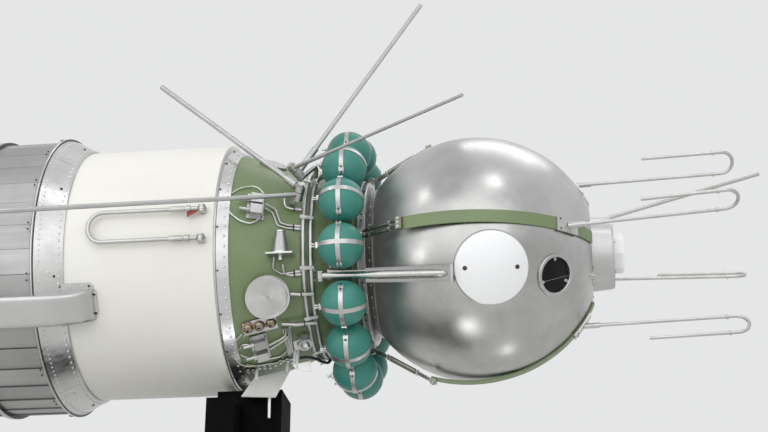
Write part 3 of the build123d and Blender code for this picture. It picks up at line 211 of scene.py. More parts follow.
def collar(half, inner, outer, sides):
    """A small ring for scattering, half its height to each side of its place."""
    return turned_shape([(-half, inner), (-half, outer), (half, outer), (half, inner)], sides)


def slab(length, width, height, bevel=0.6, sunk=-0.4):
    """A small block for scattering: three rings of an octagon, the top one drawn in by the bevel."""
    signs = np.array([(1, -1), (1, 1), (1, 1), (-1, 1), (-1, 1), (-1, -1), (-1, -1), (1, -1)])
    cuts = bevel * np.array([(0, 1), (0, 1), (1, 0), (1, 0)] * 2)
    half = np.array([length, width]) / 2
    rings = [signs * (half - inset - cuts) for inset in (0.0, 0.0, bevel)]
    levels = np.repeat([sunk, height - bevel, height], 8)
    return np.column_stack([np.concatenate(rings), levels]), capped(3, 8)


def scattered(shape, origins, normals, across):
    """Copies of a small shape, one at each origin in metres: x*across + y*(normal cross across) + z*normal."""
    points, groups = shape
    normals = unit(normals)
    across = unit(across - np.sum(across * normals, -1, keepdims=True) * normals)
    frames = np.stack([across, np.cross(normals, across), normals], 1)
    copies = origins[:, None, :] + MM * np.einsum("vk,nkj->nvj", points, frames)
    shift = (np.arange(len(origins)) * len(points))[:, None, None]
    return copies.reshape(-1, 3), [(group[None] + shift).reshape(-1, group.shape[1]) for group in groups]


def merged(*parts):
    """Several sets of points and faces as one."""
    points, faces, count = [], [], 0
    for part_points, groups in parts:
        points.append(part_points)
        faces.extend(group + count for group in groups)
        count += len(part_points)
    return np.concatenate(points), faces


def upright(points, groups):
    """A closed part with its faces turned outward, judged by the sign of its volume."""
    middle = points.mean(0)
    volume = 0.0
    for group in groups:
        corners = points[group] - middle
        for k in range(1, corners.shape[1] - 1):
            volume += np.sum(corners[:, 0] * np.cross(corners[:, k], corners[:, k + 1]))
    return points, groups if volume > 0.0 else [group[:, ::-1] for group in groups]


def eased(route, bend, steps=7):
    """A route of corners, each rounded by a quadratic arc that starts bend before it."""
    path = [route[:1]]
    t = np.linspace(0.0, 1.0, steps)[:, None]
    for before, corner, after in zip(route[:-2], route[1:-1], route[2:]):
        reach = min(bend, 0.45 * np.linalg.norm(corner - before), 0.45 * np.linalg.norm(after - corner))
        start = corner + unit(before - corner) * reach
        end = corner + unit(after - corner) * reach
        path.append((1 - t) ** 2 * start + 2 * t * (1 - t) * corner + t**2 * end)
    path.append(route[-1:])
    return np.concatenate(path)


def tube(path, radius, sides):
    """A round pipe along a path in metres, flat at both ends: path + radius*(cos t*side + sin t*cross).

    side is carried along the path by taking off its part along the tangent at each point."""
    tangent = unit(np.gradient(path, axis=0))
    side = np.empty_like(path)
    seed = np.cross(tangent[0], [0.31, 0.22, 0.93])
    for index, direction in enumerate(tangent):
        seed = unit(seed - direction * (seed @ direction))
        side[index] = seed
    turn = circle(sides)[None, :, None]
    ring = np.cos(turn) * side[:, None] + np.sin(turn) * np.cross(tangent, side)[:, None]
    width = np.broadcast_to(radius, len(path)) * MM
    return (path[:, None] + width[:, None, None] * ring).reshape(-1, 3), capped(len(path), sides)


def conduit(corners, radius):
    """A thin bent tube whose corners are station, phi and height above the instrument cone."""
    station, phi, height = np.array(corners, float).T
    return tube(eased(above(CONE, station, phi, height), 8.0 * MM), radius, 10)


def ring_band(outline, sides, origin=CENTRE, axis=ALONG, side=(0.0, -1.0, 0.0)):
    """A closed outline turned about an axis: origin + height*axis + radius*(cos t*side + sin t*cross)."""
    height, radius = np.array(outline).T
    turn = circle(sides)[:, None]
    ring = np.cos(turn) * side + np.sin(turn) * np.cross(axis, side)
    points = origin + MM * (height[:, None, None] * axis + radius[:, None, None] * ring)
    wall = grid_faces(len(height), sides, wrap_rows=True, wrap_columns=True)
    turning = np.sum(height * np.roll(radius, -1) - np.roll(height, -1) * radius)
    return points.reshape(-1, 3), [wall if turning < 0 else wall[:, ::-1]]


def flat_ring(start, end, inner, outer, sides, *about):
    """A ring of oblong section between two heights and two radii."""
    return ring_band([(start, inner), (start, outer), (end, outer), (end, inner)], sides, *about)


# Rows of fasteners: a shape, its places, its outward normals and the way its own x points

def seated(shape, cone, station, phi, height=0.0):
    """A row that stands square on a cone of revolution."""
    return shape, above(cone, station, phi, height), slope(cone, station, phi), ALONG


def standing(shape, station, radius, phi):
    """A row that stands straight out of the body."""
    return shape, place(station, radius, phi), outward(phi), ALONG


def on_ball(shape, radius, direction, across=ALONG):
    """A row that stands on the sphere's own radius: centre + radius*direction."""
    return shape, CENTRE + MM * radius * direction, direction, across


def fasteners(name, rows, finish_name, slot, body=FIXED):
    """One piece of many like fasteners, from their rows."""
    parts = []
    for shape, origins, normals, across in rows:
        parts.append(scattered(shape, *np.broadcast_arrays(np.atleast_2d(origins), normals, across)))
    return add_piece(name, *merged(*parts), finish_name, slot, body)


# Small shapes, height and radius in millimetres
DOME_RIVET = turned_shape([(-0.3, 2.5), (0.4, 2.4), (1.1, 1.7), (1.5, 0.8)], 8)
SMALL_RIVET = turned_shape([(-0.3, 1.9), (0.35, 1.8), (0.9, 1.3), (1.2, 0.5)], 8)
HEX_BOLT = turned_shape([(-0.3, 2.6), (1.9, 2.6), (2.3, 2.1)], 6)
SMALL_HEX = turned_shape([(-0.3, 1.8), (1.4, 1.8), (1.7, 1.4)], 6)
WASHER = turned_shape([(-0.3, 3.4), (0.5, 3.4), (0.7, 3.1)], 14)
ROUND_SCREW = turned_shape([(-0.3, 2.8), (0.5, 2.8), (1.1, 2.2), (1.35, 1.2)], 12)


# Materials

def add_node(tree, kind, inputs=(), **settings):
    """A new shader node with its settings, and inputs that are numbers, colours or sockets to link."""
    node = tree.nodes.new("ShaderNode" + kind)
    for key, value in settings.items():
        setattr(node, key, value)
    for key, value in dict(inputs).items():
        socket = node.inputs[key]
        if isinstance(value, bpy.types.NodeSocket):
            tree.links.new(value, socket)
        else:
            socket.default_value = (*value, 1.0) if socket.type == "RGBA" else value
    return node


def new_material(name, metallic=0.0):
    """A new material with its node tree and Principled BSDF."""
    material = bpy.data.materials.new(name)
    material.use_nodes = True
    shader = material.node_tree.nodes["Principled BSDF"]
    shader.inputs["Metallic"].default_value = metallic
    return material, material.node_tree, shader


def connect(tree, shader, colour, roughness, *bumps):
    """Link colour and roughness to a shader, and a chain of bumps, each a height and its depth in mm."""
    tree.links.new(colour, shader.inputs["Base Color"])
    tree.links.new(roughness, shader.inputs["Roughness"])
    below = {}
    for height, depth in bumps:
        bump = add_node(tree, "Bump", {"Strength": 1.0, "Distance": depth * MM, "Height": height, **below})
        below = {"Normal": bump.outputs["Normal"]}
    tree.links.new(below["Normal"], shader.inputs["Normal"])


def pattern(tree, scale=(1.0, 1.0, 1.0), origin=CENTRE):
    """Object coordinates counted from an origin and scaled, through a Mapping node."""
    shift = -np.multiply(origin, scale)
    inputs = {"Vector": add_node(tree, "TexCoord").outputs["Object"], "Scale": scale, "Location": shift}
    return add_node(tree, "Mapping", inputs).outputs["Vector"]


def noise(tree, vector, scale, detail=3.0, rough=0.55):
    """A noise texture's value on a vector."""
    inputs = {"Vector": vector, "Scale": scale, "Detail": detail, "Roughness": rough}
    return add_node(tree, "TexNoise", inputs).outputs["Fac"]


def spread(tree, value, low=0.0, high=1.0, from_low=0.3, from_high=0.7):
    """A value mapped from one range to another, held within it."""
    inputs = {"Value": value, "From Min": from_low, "From Max": from_high, "To Min": low, "To Max": high}
    return add_node(tree, "MapRange", inputs).outputs["Result"]


def blended(tree, factor, low, high):
    """A colour between two, by a factor from 0 to 1."""
    return add_node(tree, "Mix", {0: factor, 6: low, 7: high}, data_type="RGBA").outputs[2]


def math_node(tree, operation, value, other=0.5):
    """A Math node's result for a socket and a number or a second socket."""
    return add_node(tree, "Math", {0: value, 1: other}, operation=operation).outputs["Value"]


def spun_metal(name, colour, dark, low, high):
    """Aluminium spun on a lathe and polished: cloudy, softly dented, ringed, dull by the neck, and darker there
    with painted shade.
    """
    material, tree, shader = new_material(name, 1.0)
    vector = pattern(tree)
    cloud = spread(tree, noise(tree, vector, 7.0, 5.0, 0.6), 0.0, 1.0, 0.4, 0.6)
    wipe = noise(tree, pattern(tree, (1.0, 0.6, 0.6)), 12.0, 4.0, 0.6)
    rings = noise(tree, pattern(tree, (240.0, 2.0, 2.0)), 1.0, 2.0)
    along = add_node(tree, "SeparateXYZ", {"Vector": vector}).outputs["X"]
    dull = spread(tree, along, 0.30, 0.0, -0.19, -0.08)
    # Painted shade: the skin darkens towards the neck, where the neck ring and the bottles shade it.
    painted_neck_shade = spread(tree, along, 0.65, 0.0, -0.195, -0.155)
    tint = blended(tree, painted_neck_shade, blended(tree, cloud, dark, colour), 0.25 * colour)
    rough = math_node(tree, "ADD", spread(tree, wipe, low, high, 0.38, 0.62), dull)
    connect(tree, shader, tint, rough, (noise(tree, vector, 11.0, 2.0, 0.4), 0.9), (rings, 0.01))
    return material


def sheet_metal(name, colour, dark, low, high, dent, dent_scale=30.0, strips=0, metallic=1.0):
    """Rolled sheet: streaks along the body, small dents, cloudy tarnish, and strips of random tone with painted
    shadow as a dark line at each lap.
    """
    material, tree, shader = new_material(name, metallic)
    vector = pattern(tree)
    streaks = noise(tree, pattern(tree, (3.0, 110.0, 110.0)), 1.0, 4.0)
    tint = blended(tree, spread(tree, noise(tree, vector, 9.0, 4.0, 0.6)), dark, colour)
    if strips:
        parts = add_node(tree, "SeparateXYZ", {"Vector": vector}).outputs
        turn = math_node(tree, "ARCTAN2", parts["Z"], parts["Y"])
        scaled = math_node(tree, "MULTIPLY", turn, strips / (2 * math.pi))
        step = math_node(tree, "FLOOR", scaled)
        random = add_node(tree, "TexWhiteNoise", {"W": step}, noise_dimensions="1D").outputs["Value"]
        tint = blended(tree, spread(tree, random, 0.0, 0.45, 0.0, 1.0), tint, 0.55 * colour)
        # Painted shadow: a dark line along each lap of the strips.
        painted_lap_shadow = spread(tree, math_node(tree, "PINGPONG", scaled, 0.5), 0.65, 0.0, 0.008, 0.026)
        tint = blended(tree, painted_lap_shadow, tint, 0.10 * colour)
    dents = noise(tree, vector, dent_scale, 2.0, 0.4)
    connect(tree, shader, tint, spread(tree, streaks, low, high), (dents, dent), (streaks, 0.012))
    return material


def turned_face(name, colour, dark, centre, axis):
    """A face turned on a lathe: fine rings about its own centre, which pull the shine into two fans."""
    material, tree, shader = new_material(name, 1.0)
    side = unit(np.cross(axis, [0.0, 0.3, 1.0]))
    rows = np.stack([side, np.cross(axis, side), axis])
    spot = add_node(tree, "TexCoord").outputs["Object"]
    inputs = {"Vector": spot, "Rotation": Matrix(rows.tolist()).to_euler(), "Location": -rows @ centre}
    local = add_node(tree, "Mapping", inputs).outputs["Vector"]
    parts = add_node(tree, "SeparateXYZ", {"Vector": local}).outputs
    flat = add_node(tree, "CombineXYZ", {"X": parts["X"], "Y": parts["Y"]}).outputs["Vector"]
    distance = add_node(tree, "VectorMath", {0: flat}, operation="LENGTH").outputs["Value"]
    inputs = {"W": distance, "Scale": 900.0, "Detail": 2.0}
    rings = add_node(tree, "TexNoise", inputs, noise_dimensions="1D").outputs["Fac"]
    arm = add_node(tree, "VectorMath", {0: spot, 1: centre}, operation="SUBTRACT").outputs["Vector"]
    tangent = add_node(tree, "VectorMath", {0: axis, 1: arm}, operation="CROSS_PRODUCT").outputs["Vector"]
    tree.links.new(tangent, shader.inputs["Tangent"])
    shader.inputs["Anisotropic"].default_value = 0.75
    tint = blended(tree, spread(tree, noise(tree, pattern(tree), 30.0)), dark, colour)
    connect(tree, shader, tint, spread(tree, rings, 0.30, 0.42), (rings, 0.02))
    return material


def paint(name, colour, stain, roughness, mottling=8.0, grain=0.02, scuff=None, specular=0.5):
    """Sprayed paint: slightly mottled colour, fine grain, a soft sheen, and scuffs where the paint has worn."""
    material, tree, shader = new_material(name)
    shader.inputs["Specular IOR Level"].default_value = specular
    vector = pattern(tree)
    tint = blended(tree, spread(tree, noise(tree, vector, mottling, 5.0, 0.6)), stain, colour)
    if scuff is not None:
        marks = noise(tree, pattern(tree, (1.0, 1.0, 2.5)), 42.0, 6.0, 0.7)
        tint = blended(tree, spread(tree, marks, 0.0, 0.5, 0.66, 0.78), tint, scuff)
    rough = spread(tree, noise(tree, vector, 60.0), roughness - 0.06, roughness + 0.08)
    waves, grit = noise(tree, vector, 18.0, 2.0), noise(tree, vector, 700.0, 2.0)
    connect(tree, shader, tint, rough, (waves, 0.25), (grit, grain))
    return material


def drawn_rod(name, colour, dark, low, high):
    """Drawn rod and tube: worn patches and a slightly uneven shine."""
    material, tree, shader = new_material(name, 1.0)
    vector = pattern(tree)
    tint = blended(tree, spread(tree, noise(tree, vector, 32.0, 4.0, 0.6)), dark, colour)
    rough = spread(tree, noise(tree, vector, 90.0), low, high)
    connect(tree, shader, tint, rough, (noise(tree, vector, 120.0, 2.0, 0.4), 0.006))
    return material


def window_glass(name):
    """Dark glass over a black cabin."""
    material, tree, shader = new_material(name)
    shader.inputs["Specular IOR Level"].default_value = 0.15
    haze = noise(tree, pattern(tree), 40.0, 4.0)
    tint = blended(tree, spread(tree, haze), (0.006, 0.006, 0.006), (0.014, 0.014, 0.013))
    connect(tree, shader, tint, spread(tree, haze, 0.05, 0.16), (haze, 0.01))
    return material


class FinishColours(bpy.types.PropertyGroup):
    """Colours of the model's finishes, as linear values."""

    sphere: FloatVectorProperty(
        name="Sphere", description="Polished skin of the descent sphere", subtype="COLOR",
        default=(0.56, 0.56, 0.55),
    )
    sheet: FloatVectorProperty(
        name="Sheet", description="Rolled sheet of the stage, bands and rings", subtype="COLOR",
        default=(0.60, 0.60, 0.60),
    )
    rod: FloatVectorProperty(
        name="Rod", description="Drawn rods and tubes", subtype="COLOR", default=(0.56, 0.56, 0.55)
    )
    white: FloatVectorProperty(
        name="White", description="Paint of the equipment cylinder", subtype="COLOR",
        default=(0.752, 0.7505, 0.718925),
    )
    olive: FloatVectorProperty(
        name="Olive", description="Paint of the cone and the straps", subtype="COLOR",
        default=(0.175, 0.240, 0.115),
    )
    teal: FloatVectorProperty(
        name="Teal", description="Paint of the gas bottles", subtype="COLOR", default=(0.040, 0.225, 0.185)
    )


class StudioLevels(bpy.types.PropertyGroup):
    """Strengths of the studio's lamps and backdrop."""

    key: FloatProperty(
        name="Key", description="Power of the panel overhead", default=6.2, min=0.0, unit="POWER"
    )
    fill: FloatProperty(
        name="Fill", description="Power of the broad panel in front", default=60.0, min=0.0, unit="POWER"
    )
    under: FloatProperty(
        name="Under", description="Power of the lamp below", default=0.38, min=0.0, unit="POWER"
    )
    small: FloatProperty(
        name="Small", description="Power of each small lamp", default=3.4, min=0.0, unit="POWER"
    )
    soft: FloatProperty(
        name="Soft", description="Strength of the light from all round", default=0.94, min=0.0, max=2.0
    )
    backdrop: FloatProperty(
        name="Backdrop", description="Brightness of the backdrop", default=0.80, min=0.0, max=1.0
    )


FINISHES = {}


def finish(name):
    """A material made by the finishes operator."""
    if name not in FINISHES:
        raise RuntimeError(f"no finish named {name}: make the finishes first")
    return FINISHES[name]


NODE_FINISHES = {
    "black": "stand_base stand_column stand_saddle",
    "strips": "stage_shell",
    "duct": "cable_duct nose_cylinder",
    "band": "conical_band cylinder_flange",
    "sheet": "stage_rear_hoop stage_front_hoop tail_plate main_nozzle steering_nozzles porthole_frame horn_cup"
             " upper_valve_block lower_valve_blocks sensor_pot top_cover",
    "white": "equipment_cylinder",
    "bright_white": "nose_block",
    "olive": "instrument_cone sphere_straps",
    # The bottle rack gets olive paint darkened as painted shade.
    "shaded_olive": "bottle_rack",
    # The darker channel sheet is the dome plate's own greyer tone, and painted shade on the neck ring.
    "channel": "dome_plate neck_ring",
    "teal": "gas_bottles",
    "rod": "bottle_straps pipe_hoops loop_antenna_feet loop_antenna mast_foot cable_mast pipework nose_antennas"
           " nose_rod whip_hubs whip_rod_1 whip_rod_2 whip_rod_3 whip_rod_4",
    "pale": "cover_disc",
    "soft": "deflector_plates",
    "spun": "descent_sphere",
    "turned": "turned_disc",
    "dome": "signal_domes",
    "dull": "strap_tensioners",
    "glass": "porthole_glass",
}


class MODEL_OT_finishes(bpy.types.Operator):
    """Make the finishes and give one to each node of the frame"""

    bl_idname = "display_model.finishes"
    bl_label = "Finishes"

    def execute(self, context):
        """Each finish: its name, its two colours, then the numbers that its own function names."""
        chosen = context.scene.model_colours
        sphere, sheet, rod, white, olive, teal = (
            np.array(getattr(chosen, key)) for key in ("sphere", "sheet", "rod", "white", "olive", "teal")
        )
        pale, soft = np.array([(0.86, 0.87, 0.89), (0.86, 0.86, 0.85)])
        disc = above(CONE, *DISC_AT), slope(CONE, *DISC_AT)
        FINISHES.update(
            spun=spun_metal("spun_aluminium_skin", sphere, sphere * 0.80, 0.24, 0.37),
            sheet=sheet_metal("satin_sheet", sheet, sheet * 0.8, 0.26, 0.42, 0.3),
            band=sheet_metal("bright_band", sheet * 1.12, sheet * 0.95, 0.24, 0.38, 0.4, 13.0),
            strips=sheet_metal("stage_strips", sheet * 0.84, sheet * 0.70, 0.46, 0.6, 0.25, strips=36),
            duct=sheet_metal("duct_sheet", sheet, sheet * 0.88, 0.32, 0.44, 0.3, 16.0),
            # The channel sheet is darker than the satin sheet: partly the duller tone of the channel and the
            # dome plate, partly painted shade on the neck ring and in the mast channel beside its tube.
            channel=sheet_metal("darker_sheet_and_painted_shade", sheet * 0.8, sheet * 0.62, 0.34, 0.46, 0.15, 14.0),
            turned=turned_face("turned_disc_face", sheet * 1.15, sheet * 0.95, *disc),
            pale=sheet_metal("pale_silver", pale, pale - 0.04, 0.4, 0.5, 0.1, 8.0, metallic=0.4),
            soft=sheet_metal("soft_sheet", soft, soft - 0.12, 0.34, 0.46, 0.2, 12.0, metallic=0.25),
            white=paint("warm_white_paint", white, white * (0.95, 0.94, 0.91), 0.42, 5.0, 0.015, white * 0.86),
            bright_white=paint("bright_white_paint", (0.90, 0.91, 0.92), (0.86, 0.87, 0.88), 0.4),
            olive=paint("olive_paint", olive, olive * 0.86, 0.35, scuff=olive * 0.6),
            # Painted shade: olive darkened to about a third, for the bottle rack in the shade between the hoop
            # and the bottles.
            shaded_olive=paint("shaded_olive_paint", olive * 0.36, olive * 0.28, 0.5, 10.0),
            teal=paint("teal_paint", teal, teal * 0.88, 0.40, 12.0),
            black=paint("black_paint", (0.002, 0.002, 0.0025), (0.0014, 0.0014, 0.0014), 0.65, specular=0.06),
            red=paint("red_tab_paint", (0.30, 0.035, 0.030), (0.22, 0.025, 0.022), 0.5, 40.0),
            dark=paint("blackened_steel", (0.030, 0.028, 0.026), (0.020, 0.019, 0.018), 0.4, 60.0),
            rod=drawn_rod("drawn_steel", rod * 1.06, rod * 0.92, 0.32, 0.44),
            mast=drawn_rod("polished_mast_tube", rod, rod * 0.84, 0.2, 0.32),
            dull=drawn_rod("dull_steel", (0.36, 0.35, 0.30), (0.22, 0.21, 0.17), 0.3, 0.42),
            dome=drawn_rod("bronze_dome", (0.33, 0.29, 0.22), (0.25, 0.21, 0.16), 0.16, 0.28),
            wire=drawn_rod("bright_wire", rod * 1.3, rod * 1.15, 0.3, 0.42),
            brass=drawn_rod("dull_bronze", (0.30, 0.205, 0.155), (0.22, 0.145, 0.110), 0.3, 0.42),
            glass=window_glass("dark_window"),
        )
        for key, nodes in NODE_FINISHES.items():
            for node in nodes.split():
                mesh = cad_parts[node].data
                mesh.materials.clear()
                mesh.materials.append(finish(key))
        return {"FINISHED"}


class MODEL_OT_descent_skin(bpy.types.Operator):
    """Make the polished skin of the descent sphere, with the window's recess"""

    bl_idname = "display_model.descent_skin"
    bl_label = "Descent sphere skin"

    def execute(self, context):
        """Rings about the window's axis: R*(cos b*axis + sin b*(cos t*side + sin t*cross)), R rippled."""
        sides = 256
        axis, side = lean(PORT_ANGLE, PORT_PHI), lean(PORT_ANGLE + 90.0, PORT_PHI)
        start = math.asin(PORT_HOLE_R / SPHERE_R)
        b = np.concatenate([np.linspace(start, start + 0.12, 8), np.linspace(start + 0.14, np.pi, 150)[:-1]])
        b = b[:, None, None]
        t = circle(sides)[None, :, None]
        around_port = np.cos(t) * side + np.sin(t) * np.cross(axis, side)
        ray = np.cos(b) * axis + np.sin(b) * around_port
        x, y, z = np.moveaxis(ray, -1, 0)
        ripple = 0.25 * np.sin(9.0 * x + 4.0 * y) * np.sin(7.0 * z - 2.0 * y)
        ripple += 0.12 * np.sin(15.0 * x - 9.0 * z + 3.0 * y)
        fade = np.clip((b[..., 0] - start) / 0.2, 0.0, 1.0)
        skin = (SPHERE_R + ripple * fade)[..., None] * ray
        skin[..., 0] = np.minimum(skin[..., 0], NOSE_FLAT)
        lip = math.sqrt(SPHERE_R**2 - PORT_HOLE_R**2)
        wall_depth = np.array([PORT_DEPTH, 0.6, 0.0])[:, None, None]
        wall_r = np.array([PORT_HOLE_R, PORT_HOLE_R, PORT_HOLE_R + 0.4])[:, None, None]
        rows = np.concatenate([(lip - wall_depth) * axis + wall_r * around_port, skin])
        points = np.concatenate([rows.reshape(-1, 3), [-SPHERE_R * axis, (lip - PORT_DEPTH) * axis]])
        turn = np.arange(sides)
        turn_next, last = (turn + 1) % sides, (len(rows) - 1) * sides
        quads = grid_faces(len(rows), sides, wrap_columns=True)
        pole = np.stack([last + turn, last + turn_next, np.full(sides, len(points) - 2)], -1)
        floor = np.stack([turn_next, turn, np.full(sides, len(points) - 1)], -1)
        faces = [quads[:, ::-1], pole[:, ::-1], floor[:, ::-1]]
        piece = add_piece("descent_skin", CENTRE + MM * points, faces, "spun", "spun_aluminium")
        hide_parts("descent_sphere")
        return {"FINISHED"}


class MODEL_OT_band_fasteners(bpy.types.Operator):
    """Rivets, screws, beads and patches of the conical band and the flange, and the stage's second hoop"""

    bl_idname = "display_model.band_fasteners"
    bl_label = "Bands and hoops"

    def execute(self, context):
        """Rows at even turns on each cone, then the hoops, the patches and the bolts of the duct's foot."""
        fasteners("band_rivets", [
            seated(SMALL_RIVET, BAND, -764.0, clear_of_duct(turns(168))),
            seated(DOME_RIVET, BAND, -733.5, clear_of_duct(turns(118))),
        ], "wire", "satin_aluminium")
        flange_row = seated(DOME_RIVET, FLANGE, -438.0, turns(75, -1.3))
        fasteners("flange_rivets", [flange_row], "wire", "satin_aluminium")
        fasteners("flange_screws", [
            seated(SMALL_HEX, FLANGE, -449.5, turns(18, -1.9)),
            seated(ROUND_SCREW, BAND, -740.5, clear_of_duct(turns(9, 18.7))),
        ], "dark", "black_paint")
        self.hoops()
        self.patches()
        self.duct_bolts()
        return {"FINISHED"}

    def hoops(self):
        """Closed outlines of station and radius turned about the body: beads, the second hoop, and thin dark
        rings on the forward faces of two hoops as painted shadow.
        """
        beads = [
            ring_band([(-455.2, 229.7), (-455.2, 231.6), (-452.4, 231.2), (-451.4, 228.5)], 180),
            ring_band([(-727.8, 241.1), (-726.2, 240.9), (-726.2, 238.2), (-727.8, 238.2)], 180),
        ]
        add_piece("band_beads", *merged(*beads), "sheet", "satin_aluminium")
        hoop = [(-905, 262), (-905, 267.6), (-904, 268.4), (-896, 268.4), (-895, 267.6), (-895, 262)]
        add_piece("stage_middle_hoop", *ring_band(hoop, 180), "sheet", "satin_aluminium")
        # Painted shadow: thin dark rings on the forward faces of the front hoop and the middle hoop.
        painted_shadows = [flat_ring(station, station + 0.7, 262.0, 268.0, 180) for station in (-773.1, -895.1)]
        add_piece("hoop_painted_shadows", *merged(*painted_shadows), "dark", "black_paint")
        shell = clear_of_duct(np.concatenate([turns(18, 17.6), turns(18, 0.2)]), 9.0)
        fasteners("stage_screws", [standing(SMALL_HEX, -784.0, STAGE_FACE_R, shell)], "dark", "black_paint")

    def patches(self):
        """Six plates on the band: a closed outline of station and height carried along an arc of phi."""
        station, height = np.array([(-768.0, 0.05), (-768.0, 0.75), (-730.5, 0.75), (-730.5, 0.05)]).T
        corners = ((-749.0, 0.0, ROUND_SCREW), (-764.0, -3.4, SMALL_RIVET), (-764.0, 3.4, SMALL_RIVET))
        plates, rivets = [], []
        for middle in turns(6, 40.4):
            arc = middle + np.linspace(-4.2, 4.2, 9)[:, None]
            plates.append((above(BAND, station, arc, 1.13 * height).reshape(-1, 3), capped(9, 4)))
            rivets += [seated(shape, BAND, spot, middle + turn, 0.85) for spot, turn, shape in corners]
        add_piece("band_patches", *merged(*plates), "band", "satin_aluminium")
        fasteners("patch_rivets", rivets, "wire", "satin_aluminium")

    def duct_bolts(self):
        """Dark bolts round the foot of the duct, with small rivets between them."""
        top = CYLINDER_R + DUCT_FOOT_TOP
        station, phi = np.array([
            (-732.7, -25.8), (-679.1, -25.9), (-670.2, -29.6),
            (-670.2, -37.6), (-680.8, -40.6), (-732.7, -41.0),
        ]).T
        fasteners("duct_bolts", [standing(HEX_BOLT, station, top, phi)], "dark", "black_paint")
        washers = standing(WASHER, station, top, phi)
        station, phi = np.array([(-714.2, -25.8), (-692.6, -25.8), (-714.2, -41.0), (-696.0, -41.0)]).T
        rivets = standing(SMALL_RIVET, station, top, phi)
        fasteners("duct_washers", [washers, rivets], "wire", "satin_aluminium")


class MODEL_OT_duct_cover(bpy.types.Operator):
    """The cable duct as one pressed sheet that curves down to its bolted foot"""

    bl_idname = "display_model.duct_cover"
    bl_label = "Duct cover"

    def execute(self, context):
        """Sections across the duct, with rounded edges, at heights 47*sqrt(1 - t^2) that fall to the foot.

        The foot is a plate bent to the cylinder, its outline given by station and phi."""
        t = np.concatenate([np.zeros(5), np.sin(np.linspace(0.0, 0.5 * np.pi, 30))[1:-1], [0.985]])
        curve = DUCT_BEND + (DUCT_END - DUCT_BEND) * t[4:]
        station = np.concatenate([[DUCT_AFT, -1000.0, -900.0, -800.0], curve])[:, None]
        rise = DUCT_HEIGHT * np.sqrt(1.0 - t**2)[:, None]
        edge = np.minimum(DUCT_EDGE, 0.6 * rise)
        turn = np.linspace(0.0, 0.5 * np.pi, 6)
        side, root = np.full_like(rise, DUCT_HALF), np.full_like(rise, DUCT_ROOT)
        corner, shoulder = edge * (1.0 - np.cos(turn)) - DUCT_HALF, rise - edge * (1.0 - np.sin(turn))
        flat = np.linspace(-1.0, 1.0, 9)[1:-1] * (DUCT_HALF - DUCT_EDGE) + 0.0 * rise
        across = np.concatenate([-side, corner, flat, -corner[:, ::-1], side], 1)
        heights = np.concatenate([root, shoulder, rise + 0.0 * flat, shoulder[:, ::-1], root], 1)
        points = place(station, CYLINDER_R + heights, DUCT_PHI) + MM * across[..., None] * around(DUCT_PHI)
        cover = upright(points.reshape(-1, 3), capped(*across.shape))
        outline = np.array([
            (-736.0, -24.4), (-677.5, -24.4), (-667.0, -28.6),
            (-666.6, -37.2), (-679.0, -41.8), (-736.0, -41.8),
        ])
        pairs = zip(outline, np.roll(outline, -1, 0))
        fine = np.concatenate([np.linspace(a, b, 8, endpoint=False) for a, b in pairs])
        middle = outline.mean(0)
        rings = []
        for size, height in ((1.0, -0.5), (1.0, 3.0), (0.985, DUCT_FOOT_TOP), (0.5, DUCT_FOOT_TOP)):
            station, phi = (middle + (fine - middle) * size).T
            rings.append(place(station, CYLINDER_R + height, phi))
        foot = upright(np.concatenate(rings), capped(4, len(fine)))
        piece = add_piece("duct_sheet", *merged(cover, foot), "duct", "satin_aluminium")
        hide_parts("cable_duct")
        return {"FINISHED"}


class MODEL_OT_bottle_fittings(bpy.types.Operator):
    """Buckles, clamps, studs and bolts on the straps of the gas bottles"""

    bl_idname = "display_model.bottle_fittings"
    bl_label = "Bottle buckles"

    def execute(self, context):
        """On each strap: middle + R*(cos a*direction + sin a*outward), with the normal along that radius."""
        plates, bolts, studs = [], [], []
        stud = turned_shape([(1.0, 1.4), (8.5, 1.4), (8.5, 2.1), (10.0, 2.1), (10.4, 1.5)], 10)
        buckle, clamp = slab(9.0, 11.0, 3.2), slab(7.0, 10.0, 2.6)
        for phi in BOTTLE_PHIS:
            middle, up, side = place(BOTTLE_STATION, BOTTLE_RING_R, phi), outward(phi), around(phi)
            for direction, angle, shape in ((ALONG, 168.0, buckle), (side, 152.0, clamp), (side, 28.0, clamp)):
                turn = math.radians(angle)
                normal = math.cos(turn) * direction + math.sin(turn) * up
                tangent = -math.sin(turn) * direction + math.cos(turn) * up
                across = np.cross(normal, tangent)
                spot = middle + MM * BOTTLE_STRAP_R * normal
                plates.append((shape, spot, normal, tangent))
                step = 3.0 * across if shape is buckle else 5.7 * tangent
                for sign in (-1.0, 1.0):
                    bolts.append((SMALL_HEX, spot + MM * (2.6 * normal + sign * step), normal, tangent))
                    if shape is buckle:
                        studs.append((stud, spot + MM * sign * 2.2 * across, normal, tangent))
        fasteners("buckle_studs", studs, "wire", "bright_steel")
        fasteners("bottle_buckles", plates, "wire", "bright_steel")
        fasteners("buckle_bolts", bolts, "dark", "black_paint")
        return {"FINISHED"}


